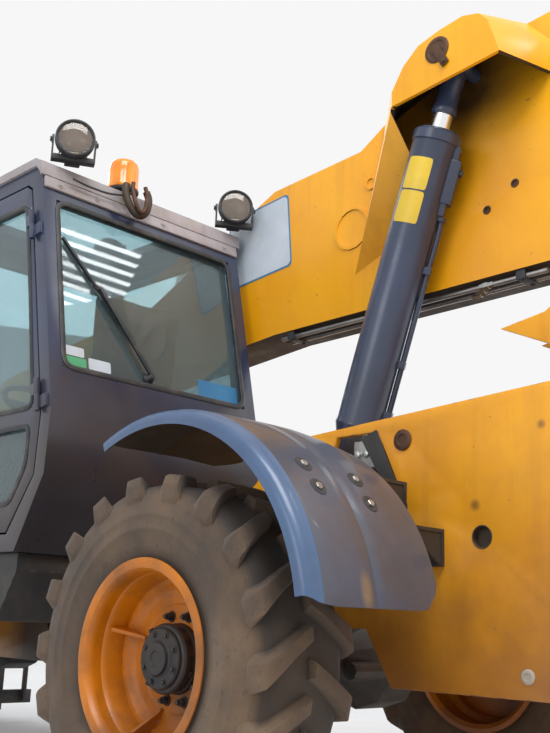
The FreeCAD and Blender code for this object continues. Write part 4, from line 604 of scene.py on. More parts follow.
def stand(mesh, name, centre, sign, material, body, node, smooth=32):
    """A copy of a form drawn about the z axis, laid along y and mirrored for the right side."""
    copy = mesh.copy()
    turn = Matrix(((1, 0, 0), (0, 0, 1), (0, 1, 0))).to_4x4()
    copy.transform(turn)
    if sign < 0:
        copy.transform(Matrix.Scale(-1, 4, (0, 1, 0)))
    work = bmesh.new()
    work.from_mesh(copy)
    bmesh.ops.recalc_face_normals(work, faces=work.faces)
    work.to_mesh(copy)
    work.free()
    piece = finished(name, copy, material, None, (), smooth)
    piece.location = centre
    bpy.context.view_layer.update()
    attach(piece, body)
    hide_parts(node)
    return piece


forms = wheel_meshes()
for end, axle_x in AXLES.items():
    for side, sign in SIDES.items():
        for form, material, slot in (("tyre", TYRE, "tyre"), ("rim", RIM_PAINT, "yellow_paint"), ("hub", HUB, "black_paint")):
            centre = (axle_x, sign * 0.83, 0.52)
            stand(forms[form], f"{form}_{end}_{side}_form", centre, sign, material, f"wheel_{end}_{side}",
                  f"{form}_{end}_{side}")
        softened(f"knuckle_{end}_{side}", BLACK, 0.004)
    softened(f"{end}_axle", BLACK, 0.006)


# Fenders

def fender_mesh():
    """A moulded fender: crowned across, a rolled outer lip, a crease and eased corners."""
    radius, wall = 0.622, 0.006
    section = [(1.0, -0.046), (0.9995, -0.032), (0.9985, -0.020), (0.992, -0.010), (0.982, -0.004), (0.970, -0.0010),
               (0.955, 0.0012), (0.951, 0.0040), (0.946, 0.0046), (0.900, 0.0062), (0.850, 0.0074), (0.800, 0.0078),
               (0.760, 0.0078), (0.755, 0.0050), (0.748, 0.0050), (0.743, 0.0078), (0.700, 0.0078), (0.640, 0.0070),
               (0.580, 0.0020), (0.520, -0.0060), (0.470, -0.0130), (0.4505, -0.0160)]
    first, last, steps = 28.0, -83.0, 60
    work = bmesh.new()
    grid = []
    count = len(section)
    for index, (y, rise) in enumerate(section):
        row = []
        spread = abs(y - 0.725) / 0.275
        ease = max(0.0, (spread - 0.62) / 0.38) ** 2.4 * (2.5 if y > 0.725 else 7.0)
        for step in range(steps + 1):
            angle = math.radians((first - ease * 0.9) + ((last + ease) - (first - ease * 0.9)) * step / steps)
            reach = radius + rise
            row.append(work.verts.new((reach * math.sin(angle), y, reach * math.cos(angle))))
        grid.append(row)
    for here, there in zip(grid, grid[1:]):
        for step in range(steps):
            work.faces.new((here[step], here[step + 1], there[step + 1], there[step]))
    bmesh.ops.recalc_face_normals(work, faces=work.faces)
    outward = sum((face.normal.dot(face.calc_center_median() * Vector((1, 0, 1))) for face in work.faces))
    if outward < 0:
        bmesh.ops.reverse_faces(work, faces=work.faces)
    faces = list(work.faces)
    made = bmesh.ops.solidify(work, geom=faces, thickness=wall)
    bmesh.ops.recalc_face_normals(work, faces=work.faces)
    return to_mesh("fender_form", work)


def fender_bolts(cups, heads, sign, offset):
    """Two pairs of bolts in shallow dished washers on the fender's back."""
    for x, y in ((-0.474, 0.85), (-0.530, 0.85), (-0.494, 0.66), (-0.549, 0.66)):
        angle = math.asin((x + 0.03) / 0.629)
        place = Matrix.Translation((REAR - 0.03 + offset, 0, 0.598)) @ Matrix.Rotation(angle, 4, "Y")
        place = place @ Matrix.Translation((0, y * sign, 0.6284))
        turned(cups, [(0, 0.0), (0.0275, 0.0), (0.0270, 0.0020), (0.0220, 0.0030), (0.0170, 0.0012), (0, 0.0012)], 32, place)
        turned(heads, [(0, 0.0012), (0.0118, 0.0012), (0.0118, 0.0060), (0.0100, 0.0078), (0, 0.0078)], 6, place)


fender_source = fender_mesh()
for end, axle_x in AXLES.items():
    for side, sign in SIDES.items():
        copy = fender_source.copy()
        if sign < 0:
            copy.transform(Matrix.Scale(-1, 4, (0, 1, 0)))
            copy.flip_normals()
        copy.transform(Matrix.Translation((axle_x - 0.03, 0, 0.598)))
        fender = finished(f"fender_{end}_{side}_form", copy, FENDER, "chassis", (f"fender_{end}_{side}",), 40)
        middle = Vector((axle_x - 0.03, 0, 0.598))
        # The outermost lip faces take the bluer plastic as a painted sheen.
        partly(fender, FENDER_LIP_SHEEN, lambda centre, normal: abs(centre.y) > 0.952)
        # The faces turned towards the wheel get near-black: painted shade under the fender, with mud.
        partly(fender, GRIME_AND_SHADE, lambda centre, normal: normal.dot(Vector((centre.x - middle.x, 0, centre.z - middle.z))) < -0.06)
        cups, heads = bmesh.new(), bmesh.new()
        fender_bolts(cups, heads, sign, axle_x - REAR)
        finished(f"fender_{end}_{side}_washers", to_mesh("fender_washers", tidy(cups)), PLASTIC, "chassis")
        finished(f"fender_{end}_{side}_bolts", to_mesh("fender_bolts", tidy(heads)), STEEL, "chassis")
softened("fender_arms", BLACK, 0.0025)
work = bmesh.new()
for x, z in ((-1.885, 1.068), (-2.025, 0.918)):
    for sign, plate in ((1, 0.298), (-1, -0.366)):
        corners = [(plate, z - 0.108), (plate, z - 0.013), (sign * 0.47, z - 0.013)]
        rings = [[work.verts.new((x + 0.004 + shift, y, height)) for y, height in corners] for shift in (0, 0.008)]
        work.faces.new(rings[0])
        work.faces.new(rings[1])
        for here in range(3):
            after = (here + 1) % 3
            work.faces.new((rings[0][here], rings[0][after], rings[1][after], rings[1][here]))
finished("fender_arm_webs", to_mesh("fender_arm_webs", tidy(work)), BLACK, "chassis")


# Steelwork of the frame and boom, its edges rounded

for node, width, paint in (("chassis_plate_left", 0.004, FRAME_YELLOW), ("chassis_plate_right", 0.004, FRAME_YELLOW),
                           ("boom_tower", 0.004, YELLOW), ("chassis_cross_members", 0.006, FRAME_YELLOW),
                           ("lift_foot_mount", 0.003, GRIME_AND_SHADE), ("outer_boom", 0.005, BOOM_YELLOW), ("inner_boom", 0.006, YELLOW),
                           ("boom_neck", 0.004, YELLOW), ("lift_hood", 0.006, YELLOW), ("engine_hood", 0.006, YELLOW),
                           ("rear_counterweight", 0.012, YELLOW)):
    steel = softened(node, paint, width, 3 if width > 0.004 else 2)
    if node == "lift_hood":
        # The hood's inner faces round the cavity get near-black: painted shade in the cavity, with grime.
        cavity = Vector((-1.80, 0.045, 2.42))
        partly(steel, GRIME_AND_SHADE, lambda centre, normal: -0.068 < centre.y < 0.1625 and normal.dot(cavity - centre) > 0.02)
    if node in ("outer_boom", "inner_boom"):
        # Faces of the booms that point down get near-black: painted shade under the boom, with grime.
        partly(steel, GRIME_AND_SHADE, lambda centre, normal: normal.z < -0.85)
softened("engine_pod", YELLOW, 0.004)
softened("carriage", BLACK, 0.003)
softened("forks", FORK_STEEL, 0.003)
softened("frame_pins", STEEL, 0.003)
softened("step_box", BLACK, 0.006)
softened("engine_block", CAST, 0.012, 3)
softened("cab_shell", FRAME_DARK, 0.010, 3)
softened("door_frame", FRAME_DARK, 0.006, 2)
softened("cab_roof", ROOF, 0.012, 3)
softened("seat_base", PLASTIC, 0.012, 3)
softened("side_console", PLASTIC, 0.018, 3)
softened("dash_and_steering_wheel", PLASTIC, 0.006, 2)
softened("mirrors", PLASTIC, 0.006, 2)


# Hydraulic cylinders

BOOM_Y = -0.185
SLOPE = math.radians(6)
PIVOT = (REAR - 1.020, 2.100)


def boom_place(u, v, y=BOOM_Y):
    """A point of the boom's own frame, in the row frame."""
    return (PIVOT[0] + u * math.cos(SLOPE) + v * math.sin(SLOPE), y,
            PIVOT[1] - u * math.sin(SLOPE) + v * math.cos(SLOPE))


ACROSS = Matrix.Rotation(-math.pi / 2, 4, "X")
LIFT_FOOT = (REAR + 0.073, 0.05, 1.140)
LIFT_HEAD = boom_place(0.531, 0.574, 0.05)
HEAD = boom_place(4.225, -1.265)
TILT_FOOT = boom_place(3.900, -0.250)
TILT_HEAD = (HEAD[0] + 0.060, BOOM_Y, HEAD[2] + 0.230)


def eye(work, centre, radius, width, bore):
    """A turned eye about the y axis with eased rims and a bushing."""
    half = width / 2
    place = Matrix.Translation(centre) @ ACROSS
    turned(work, [(bore, -half), (bore + 0.006, -half), (bore + 0.006, -half + 0.002), (radius - 0.004, -half + 0.002),
                  (radius, -half + 0.006), (radius, half - 0.006), (radius - 0.004, half - 0.002),
                  (bore + 0.006, half - 0.002), (bore + 0.006, half), (bore, half), (bore, -half)], 48, place)


def cylinder(name, foot, head, root, barrel, rod_radius, eye_radius, pin, exposed, bodies, stands):
    """Barrel with weld ring, gland and foot eye, and a chromed rod."""
    length = (Vector(head) - Vector(foot)).length
    top, start = length - eye_radius - exposed, eye_radius * 1.25
    place = along(foot, head)
    work = bmesh.new()
    turned(work, [(0, start * 0.72), (root * 0.80, start * 0.72), (root * 0.93, start * 0.86), (root, start), (root, start + 0.090),
                  (barrel + 0.0024, start + 0.130), (barrel + 0.0024, start + 0.138), (barrel, start + 0.142), (barrel, top - 0.052), (barrel + 0.001, top - 0.050),
                  (barrel + 0.0055, top - 0.046), (barrel + 0.0055, top - 0.012), (barrel + 0.003, top - 0.0085),
                  (barrel - 0.004, top - 0.008), (barrel - 0.006, top - 0.001), (rod_radius + 0.008, top),
                  (rod_radius + 0.005, top - 0.004), (rod_radius + 0.0006, top - 0.004), (rod_radius + 0.0006, top - 0.03)],
           72, place)
    eye(work, foot, eye_radius * 0.95, 0.064, pin + 0.0003)
    bar(work, (-eye_radius * 0.8, -0.030, eye_radius * 0.7), (eye_radius * 0.8, 0.030, start * 0.9), place, 0.006)
    shell = finished(f"{name}_barrel_form", to_mesh(name, tidy(work)), BARREL_DARK, bodies[0], (stands[0],))
    work = bmesh.new()
    turned(work, [(0, start + 0.11), (rod_radius, start + 0.11), (rod_radius, length - eye_radius * 0.9), (0, length - eye_radius * 0.9)],
           48, place)
    shaft = finished(f"{name}_rod_form", to_mesh(name, tidy(work)), CHROME, bodies[1], (stands[1],))
    return place, length, top


BARREL = 0.083
place, length, top = cylinder("lift", LIFT_FOOT, LIFT_HEAD, 0.072, BARREL, 0.036, 0.052, 0.025, 0.205,
                              ("lift_cylinder", "lift_cylinder_rod"), ("lift_barrel", "lift_rod"))
work = bmesh.new()
eye(work, LIFT_HEAD, 0.052, 0.064, 0.0245)
turned(work, [(0.0362, -0.194), (0.043, -0.192), (0.046, -0.186), (0.046, -0.170), (0.041, -0.158), (0.040, -0.100),
              (0.044, -0.070), (0.044, -0.030)], 40, Matrix.Translation(LIFT_HEAD) @ (along(LIFT_FOOT, LIFT_HEAD).to_quaternion().to_matrix().to_4x4()))
turned(work, [(0, -0.119), (0.0249, -0.119), (0.0249, 0.104), (0.0235, 0.1055), (0, 0.1055)], 40, Matrix.Translation(LIFT_HEAD) @ ACROSS)
finished("lift_rod_eye", to_mesh("lift_rod_eye", tidy(work)), BARREL_DARK, "lift_cylinder_rod")

tilt_place, tilt_length, tilt_top = cylinder("tilt", TILT_FOOT, TILT_HEAD, 0.042, 0.042, 0.022, 0.036, 0.020, 0.105,
                                             ("tilt_cylinder", "tilt_cylinder_rod"), ("tilt_barrel", "tilt_rod"))
work = bmesh.new()
eye(work, TILT_HEAD, 0.036, 0.064, 0.0205)
turned(work, [(0, -0.0455), (0.0195, -0.0455), (0.0195, 0.0455), (0, 0.0455)], 32, Matrix.Translation(TILT_HEAD) @ ACROSS)
finished("tilt_rod_eye", to_mesh("tilt_rod_eye", tidy(work)), BARREL_DARK, "tilt_cylinder_rod")

# The lift cylinder's port, pipe and blank two-part label. Its local x is turned towards the camera side.
axis = (Vector(LIFT_HEAD) - Vector(LIFT_FOOT)).normalized()
out = Vector((-0.60, 0.80, 0.0))
out = (out - axis * out.dot(axis)).normalized()
round_axis = Matrix.Translation(LIFT_FOOT) @ Matrix((out, axis.cross(out), axis)).transposed().to_4x4()


def on_barrel(angle, radius, height):
    return round_axis @ Vector((radius * math.cos(angle), radius * math.sin(angle), height))


def barrel_patch(name, angles, heights, material, lift=0.0007):
    """A thin decal bent round the lift barrel, with eased corners."""
    work = bmesh.new()
    across, up = 14, 10
    grid = []
    for row in range(up + 1):
        line = []
        for column in range(across + 1):
            a, b = column / across * 2 - 1, row / up * 2 - 1
            pull = 1 - 0.05 * abs(a) ** 8 * abs(b) ** 8
            angle = (angles[0] + angles[1]) / 2 + a * pull * (angles[1] - angles[0]) / 2
            height = (heights[0] + heights[1]) / 2 + b * pull * (heights[1] - heights[0]) / 2
            line.append(work.verts.new(on_barrel(angle, BARREL + lift, height)))
        grid.append(line)
    for here, there in zip(grid, grid[1:]):
        for column in range(across):
            work.faces.new((here[column], here[column + 1], there[column + 1], there[column]))
    bmesh.ops.recalc_face_normals(work, faces=work.faces)
    if work.faces[0].normal.dot(Vector(work.faces[0].calc_center_median()) - Vector(round_axis @ Vector((0, 0, heights[0])))) < 0:
        bmesh.ops.reverse_faces(work, faces=work.faces)
    bmesh.ops.solidify(work, geom=list(work.faces), thickness=0.0006)
    return finished(name, to_mesh(name, work), material, "lift_cylinder")


barrel_patch("barrel_label_upper", (-0.98, 0.20), (1.066, 1.184), LABEL_YELLOW)
barrel_patch("barrel_label_lower", (-0.98, 0.20), (0.942, 1.060), LABEL_YELLOW)

PORT = 1.52
facing = round_axis.to_quaternion().to_matrix().to_4x4() @ Matrix.Rotation(PORT, 4, "Z")
work = bmesh.new()
port = Matrix.Translation(on_barrel(PORT, BARREL, 1.150)) @ facing
bar(work, (-0.030, -0.034, -0.105), (0.030, 0.034, 0.060), port, 0.010)
bar(work, (-0.030, -0.028, -0.150), (0.016, 0.028, 0.110), port, 0.010)
turned(work, [(0, 0), (0.019, 0), (0.019, 0.014), (0.015, 0.018), (0, 0.018)], 6,
       port @ Matrix.Translation((0.008, 0, -0.150)) @ Matrix.Rotation(math.pi, 4, "X"))
turned(work, [(0, 0), (0.015, 0), (0.015, 0.010), (0.011, 0.013), (0, 0.013)], 6,
       port @ Matrix.Translation((0.029, 0, 0.020)) @ Matrix.Rotation(math.pi / 2, 4, "Y"))
foot_port = Matrix.Translation(on_barrel(PORT, BARREL, 0.250)) @ facing
bar(work, (-0.020, -0.022, -0.026), (0.026, 0.022, 0.026), foot_port, 0.004)
for height in (0.45, 0.80):
    bar(work, (-0.012, -0.018, -0.014), (0.024, 0.018, 0.014), Matrix.Translation(on_barrel(PORT, BARREL, height)) @ facing, 0.003)
finished("lift_ports", to_mesh("lift_ports", tidy(work)), BARREL_DARK, "lift_cylinder")
tube("lift_pipe", [on_barrel(PORT, BARREL + shift, height) for shift, height in
                   ((0.008, 1.000), (0.012, 0.960), (0.012, 0.80), (0.012, 0.45), (0.012, 0.32), (0.012, 0.25))],
     0.0105, BARREL_DARK, "lift_cylinder")


# Boom: bosses, pin heads, bolts, blank plate and pipes

work = bmesh.new()
pin_head = Matrix.Translation((LIFT_HEAD[0], 0.1740, LIFT_HEAD[2])) @ ACROSS
turned(work, [(0, -0.002), (0.050, -0.002), (0.050, 0.0035), (0.047, 0.0055), (0.036, 0.006), (0.034, 0.004), (0.010, 0.004), (0.009, 0.006), (0, 0.006)], 48, pin_head)
bar(work, (-0.016, -0.020, 0.0), (0.016, 0.072, 0.006), pin_head @ Matrix.Rotation(0.5, 4, "Z") @ Matrix.Translation((0, 0.010, 0.004)), 0.0015)
bolt(work, pin_head @ Matrix.Rotation(0.5, 4, "Z") @ Matrix.Translation((0, 0.068, 0.009)), 0.009, 0.008)
finished("hood_pin_head", to_mesh("hood_pin_head", tidy(work)), RUST, "boom")
work = bmesh.new()
outline = [(0.620, 0.635), (0.790, 0.600), (0.945, 0.562), (0.948, 0.570), (0.900, 0.6015), (0.780, 0.6395), (0.620, 0.655)]
rings = [[work.verts.new(boom_place(u, v, y)) for u, v in outline] for y in (-0.0748, -0.0715)]
work.faces.new(rings[0])
work.faces.new(rings[1])
for here in range(len(outline)):
    after = (here + 1) % len(outline)
    work.faces.new((rings[0][here], rings[0][after], rings[1][after], rings[1][here]))
finished("hood_seam_strip", to_mesh("hood_seam_strip", tidy(work)), GRIME_AND_SHADE, "boom")

work = bmesh.new()
for u, v, radius in ((3.47, 0.19, 0.008), (3.47, 0.10, 0.008), (3.47, 0.0, 0.008), (3.47, -0.09, 0.008)):
    for side in (1, -1):
        spot = Matrix.Translation(boom_place(u, v, BOOM_Y + side * 0.124)) @ ACROSS
        if side < 0:
            spot = spot @ Matrix.Rotation(math.pi, 4, "X")
        bolt(work, spot, radius, 0.008)
for u, v in ((0.431, 0.094), (0.553, 0.036)):
    spot = Matrix.Translation(boom_place(u, v, BOOM_Y + 0.110)) @ ACROSS
    turned(work, [(0, -0.004), (0.0105, -0.004), (0.0105, 0.0015), (0.016, 0.0015), (0.017, 0), (0.017, -0.001)], 24, spot)
finished("boom_bolts", to_mesh("boom_bolts", tidy(work)), RUST, "boom")


def plate_on_boom(name, corners, material, thick=0.0012, lift=0.0):
    """A thin plate with eased corners on the boom's left side."""
    work = bmesh.new()
    verts = [work.verts.new(boom_place(u, v, BOOM_Y + 0.1101 + lift)) for u, v in corners]
    face = work.faces.new(verts)
    bmesh.ops.bevel(work, geom=list(work.verts), offset=0.022, segments=5, profile=0.5, affect="VERTICES")
    bmesh.ops.recalc_face_normals(work, faces=work.faces)
    moved = bmesh.ops.extrude_face_region(work, geom=list(work.faces))
    bmesh.ops.translate(work, verts=[v for v in moved["geom"] if isinstance(v, bmesh.types.BMVert)], vec=(0, thick, 0))
    return finished(name, to_mesh(name, tidy(work)), material, "boom")


plate_on_boom("boom_plate_border", [(1.505, 0.150), (1.880, 0.150), (1.880, 0.488), (1.505, 0.488)], LABEL_BLUE)
plate_on_boom("boom_plate_blank", [(1.513, 0.158), (1.872, 0.158), (1.872, 0.480), (1.513, 0.480)], LABEL_WHITE, 0.0006, 0.0012)


def belly(u):
    """Height of the pipes' middle under the boom's sloping belly."""
    return -0.233 + (u - 0.339) * 0.102 / 1.281 - 0.022


for index in range(3):
    y = BOOM_Y + 0.110 - 0.022 - index * 0.030
    run = [boom_place(u, belly(u), y) for u in (0.362, 0.50, 0.75, 1.0, 1.25, 1.45, 1.598)]
    pipe = tube(f"boom_pipe_{index}", run, 0.0095, STEEL if index != 1 else BLACK, "boom")
    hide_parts("boom_pipes")
work = bmesh.new()
for u in (0.458, 0.998, 1.538):
    middle = Vector(boom_place(u, belly(u) + 0.004, BOOM_Y + 0.058))
    turn = Matrix.Translation(middle) @ Matrix.Rotation(SLOPE - 0.0795, 4, "Y")
    bar(work, (-0.018, -0.047, -0.0175), (0.018, 0.047, 0.0165), turn, 0.003)
    for y in (-0.036, 0.036):
        bolt(work, turn @ Matrix.Translation((0, y, -0.0175)) @ Matrix.Rotation(math.pi, 4, "X"), 0.006, 0.006)
clamps = finished("boom_pipe_clamps", to_mesh("boom_pipe_clamps", tidy(work)), PLASTIC, "boom")
work = bmesh.new()
for index in range(3):
    spot = boom_place(0.60 + index * 0.035, belly(0.60 + index * 0.035), BOOM_Y + 0.088 - index * 0.030)
    turn = Matrix.Translation(spot) @ Matrix.Rotation(math.pi / 2 + SLOPE - 0.0795, 4, "Y")
    turned(work, [(0, -0.028), (0.0125, -0.028), (0.0125, -0.010), (0.0155, -0.008), (0.0155, 0.012), (0.0125, 0.014),
                  (0.0125, 0.028), (0, 0.028)], 6, turn)
finished("boom_pipe_fittings", to_mesh("boom_pipe_fittings", tidy(work)), FITTING, "boom")


# Lamps, beacon and the rest of the roof

def lamp_head(x, y, z, facing, tilt):
    return Matrix.Translation((x, y, z)) @ Matrix.Rotation(facing, 4, "Z") @ Matrix.Rotation(math.pi / 2 + tilt, 4, "Y")


work, lenses, bowls, brackets = bmesh.new(), bmesh.new(), bmesh.new(), bmesh.new()
for x, y, facing in ((REAR + 0.765, 0.864, math.pi - 0.50), (REAR + 0.765, 0.020, math.pi - 0.62), (REAR + 1.620, 0.864, 0.0),
                     (REAR + 1.620, 0.060, 0.0)):
    place = lamp_head(x, y, 2.384, facing, 0.0)
    turned(work, [(0, -0.050), (0.030, -0.050), (0.042, -0.046), (0.060, -0.026), (0.068, -0.004), (0.0745, 0.010),
                  (0.0758, 0.018), (0.0758, 0.044), (0.0740, 0.0505), (0.0700, 0.0515), (0.0655, 0.0480), (0.0650, 0.0300),
                  (0.0600, 0.0260)], 56, place)
    for fin in range(5):
        bar(work, (-0.044, -0.052 + fin * 0.026 - 0.002, -0.047), (0.044, -0.052 + fin * 0.026 + 0.002, -0.006), place, 0.001)
    turned(lenses, [(0, 0.0485), (0.030, 0.0480), (0.055, 0.0460), (0.0652, 0.0430), (0.0652, 0.0400), (0.055, 0.0430),
                    (0.030, 0.0450), (0, 0.0455)], 48, place)
    turned(bowls, [(0.0645, 0.0395), (0.058, 0.020), (0.044, 0.004), (0.022, -0.006), (0.012, -0.008), (0.012, 0.010),
                   (0.008, 0.016), (0, 0.016)], 40, place)
    for index in range(11):
        reach = math.sqrt(max(0.0, 0.0645 ** 2 - ((index - 5) * 0.0122) ** 2)) - 0.001
        bar(bowls, ((index - 5) * 0.0122 - 0.0012, -reach, 0.0385), ((index - 5) * 0.0122 + 0.0012, reach, 0.0412), place)
    yoke = Matrix.Translation((x, y, 0)) @ Matrix.Rotation(facing, 4, "Z")
    for side in (-1, 1):
        bar(brackets, (-0.016, side * 0.0800 - 0.003, 2.322), (0.016, side * 0.0800 + 0.003, 2.400), yoke, 0.001)
        bolt(brackets, yoke @ Matrix.Translation((0, side * 0.0830, 2.386)) @ Matrix.Rotation(-side * math.pi / 2, 4, "X"), 0.010, 0.009)
    bar(brackets, (-0.018, -0.0830, 2.3003), (0.018, 0.0830, 2.322), yoke, 0.003)
    bar(brackets, (-0.046, -0.030, 2.3003), (0.012, 0.030, 2.345), yoke, 0.006)
lamp_pieces = finished("work_lamp_shells", to_mesh("work_lamp_shells", tidy(work)), PLASTIC, "chassis", ("work_lamps",))
finished("work_lamp_lenses", to_mesh("work_lamp_lenses", tidy(lenses)), LENS, "chassis")
finished("work_lamp_bowls", to_mesh("work_lamp_bowls", tidy(bowls)), REFLECTOR, "chassis")
finished("work_lamp_brackets", to_mesh("work_lamp_brackets", tidy(brackets)), BLACK, "chassis")

bx, by = REAR + 0.855, 0.56
work = bmesh.new()
dome = [(0.0600, 0.014), (0.0625, 0.018), (0.0630, 0.026), (0.0618, 0.030), (0.0612, 0.100), (0.0600, 0.114), (0.0560, 0.127),
        (0.0480, 0.1370), (0.034, 0.1435), (0.016, 0.1466), (0, 0.1470)]
rings = turned(work, dome, 96, Matrix.Translation((bx, by, 2.3003)))
for ring in rings[3:6]:
    for index, vert in enumerate(ring):
        if index % 6 < 3:
            vert.co -= (vert.co - Vector((bx, by, vert.co.z))).normalized() * 0.0009
beacon_dome = finished("beacon_dome", to_mesh("beacon_dome", tidy(work)), AMBER, "chassis", ("beacon",))
work = bmesh.new()
turned(work, [(0, 0), (0.060, 0), (0.0640, 0.002), (0.0655, 0.006), (0.0655, 0.013), (0.062, 0.0155), (0.056, 0.016), (0.030, 0.016),
              (0.026, 0.040), (0.024, 0.060), (0, 0.060)], 48, Matrix.Translation((bx, by, 2.3003)))
bar(work, (-0.006, -0.018, 0.06), (0.006, 0.018, 0.105), Matrix.Translation((bx, by, 2.3003)) @ Matrix.Rotation(0.6, 4, "Z"), 0.002)
finished("beacon_base", to_mesh("beacon_base", tidy(work)), PLASTIC, "chassis")
beam_x = REAR + 0.772
hook = [(-0.052, 2.296), (-0.060, 2.270), (-0.056, 2.236), (-0.038, 2.196), (-0.006, 2.172), (0.028, 2.190), (0.050, 2.232),
        (0.056, 2.270), (0.048, 2.296)]
tube("beacon_bracket", [(beam_x - 0.014 - (2.30 - z) * 0.22, by - y, z) for y, z in hook], 0.0150, GRIME_AND_SHADE, "chassis")
tube("beacon_bracket_inner", [(beam_x - 0.038 - (2.30 - z) * 0.22, by - y * 0.60 + 0.006, z + 0.006) for y, z in hook], 0.0085, RUST,
     "chassis")
work = bmesh.new()
lean_turn = Matrix.Translation((REAR + 0.590 + 0.205 * 0.872 / 0.93, 0, 2.172)) @ Matrix.Rotation(math.atan2(0.205, 0.93), 4, "Y")
bar(work, (-0.011, -0.016, 0.0), (0.002, 0.966, 0.049), lean_turn, 0.005)
for y in (0.06, 0.40, 0.73, 0.90):
    bolt(work, lean_turn @ Matrix.Translation((-0.011, y, 0.025)) @ Matrix.Rotation(-math.pi / 2, 4, "Y"), 0.008, 0.006)
finished("rear_roof_beam", to_mesh("rear_roof_beam", tidy(work)), ROOF, "chassis")
tube("beacon_lead", [(bx - 0.050, by + 0.02, 2.306), (beam_x - 0.004, by + 0.025, 2.300), (beam_x - 0.020, by + 0.030, 2.268),
                     (beam_x - 0.018, by + 0.10, 2.236), (beam_x - 0.016, by + 0.22, 2.226), (beam_x - 0.016, by + 0.30, 2.232)],
     0.0042, PLASTIC, "chassis")


# Cab glazing: CAD panes keep their place; gaskets, wiper and blank labels go with them

def wall_x(z):
    """Row x of the leaning rear wall's outer face."""
    return REAR + 0.590 + 0.205 * (z - 1.30) / 0.93


for node in ("cab_glass", "door_glass"):
    mesh = nodes[node].data
    mesh.materials.clear()
    mesh.materials.append(GLASS)


def rounded(corners, radius, steps=5):
    """Points round a loop of 3-D corners, each corner cut by an arc."""
    points = []
    count = len(corners)
    for index in range(count):
        before, here, after = (Vector(corners[(index + shift) % count]) for shift in (-1, 0, 1))
        first, last = here + (before - here).normalized() * radius, here + (after - here).normalized() * radius
        for step in range(steps + 1):
            t = step / steps
            points.append(first * (1 - t) ** 2 + here * 2 * t * (1 - t) + last * t ** 2)
    return points


def gasket(name, corners, normal, width=0.016, depth=0.006, body="chassis", radius=0.05):
    """A rubber section run round a window opening."""
    loop = rounded(corners, radius)
    normal = Vector(normal).normalized()
    work = bmesh.new()
    rings = []
    count = len(loop)
    for index, point in enumerate(loop):
        direction = (loop[(index + 1) % count] - loop[index - 1]).normalized()
        side = direction.cross(normal).normalized()
        section = [(-1, -0.5), (-1, 0.5), (-0.5, 1), (0.5, 1), (1, 0.5), (1, -0.5)]
        rings.append([work.verts.new(point + side * a * width / 2 + normal * b * depth) for a, b in section])
    for index in range(count):
        here, there = rings[index], rings[(index + 1) % count]
        for step in range(6):
            after = (step + 1) % 6
            work.faces.new((here[step], here[after], there[after], there[step]))
    return finished(name, to_mesh(name, tidy(work)), PLASTIC, body, (), 50)


lean = (-(0.93), 0, 0.205)
gasket("rear_gasket", [(wall_x(z), y, z) for y, z in ((0.040, 1.469), (0.910, 1.469), (0.910, 2.131), (0.040, 2.131))], lean, 0.020, 0.005)


def front_x(z):
    return REAR + 1.830 - (z - 1.32) * 0.156 / 0.91


gasket("front_gasket", [(front_x(z) - 0.002, y, z) for y, z in ((0.040, 1.334), (0.910, 1.334), (0.910, 2.166), (0.040, 2.166))],
       (0.91, 0, 0.156), 0.020, 0.005)
right_corners = [(REAR + 0.590 + 0.205 * 0.040 / 0.93 + 0.070, 1.340), (REAR + 0.590 + 0.205 * 0.890 / 0.93 + 0.070, 2.190),
                 (REAR + 1.600, 2.190), (REAR + 1.748, 1.340)]
gasket("right_gasket", [(x, -0.0205, z) for x, z in right_corners], (0, -1, 0), 0.020, 0.005)


def door_loop(corners):
    return [(REAR + x, 0.9700, z) for x, z in corners]


gasket("door_gasket_upper", door_loop([(0.7055, 1.322), (0.873, 2.120), (1.562, 2.120), (1.684, 1.322)]), (0, 1, 0), 0.018, 0.004, "door")
gasket("door_gasket_lower", door_loop([(0.803, 0.992), (0.7175, 1.122), (0.7175, 1.258), (1.498, 1.258), (1.478, 0.992)]), (0, 1, 0), 0.018, 0.004,
       "door", 0.035)


def glass_spot(y, z, lift=0.0):
    """A point on the rear pane's outer face."""
    return Vector((wall_x(z) + 0.0224 - lift, y, z + lift * 0.22))


def glass_label(name, y, z, material, lift=0.0006):
    work = bmesh.new()
    verts = [work.verts.new(glass_spot(a, b, lift)) for a, b in ((y[0], z[0]), (y[1], z[0]), (y[1], z[1]), (y[0], z[1]))]
    work.faces.new(verts)
    bmesh.ops.bevel(work, geom=list(work.verts), offset=0.006, segments=3, profile=0.5, affect="VERTICES")
    bmesh.ops.recalc_face_normals(work, faces=work.faces)
    if work.faces[0].normal.x > 0:
        bmesh.ops.reverse_faces(work, faces=work.faces)
    bmesh.ops.solidify(work, geom=list(work.faces), thickness=0.0004)
    return finished(name, to_mesh(name, work), material, "chassis", (), None)


glass_label("rear_label_white", (0.806, 0.890), (1.524, 1.560), LABEL_WHITE)
glass_label("rear_label_green", (0.798, 0.892), (1.484, 1.520), LABEL_GREEN)
glass_label("rear_label_pale", (0.690, 0.788), (1.486, 1.530), LABEL_WHITE)
glass_label("rear_label_blue", (0.052, 0.262), (1.484, 1.556), LABEL_BLUE)

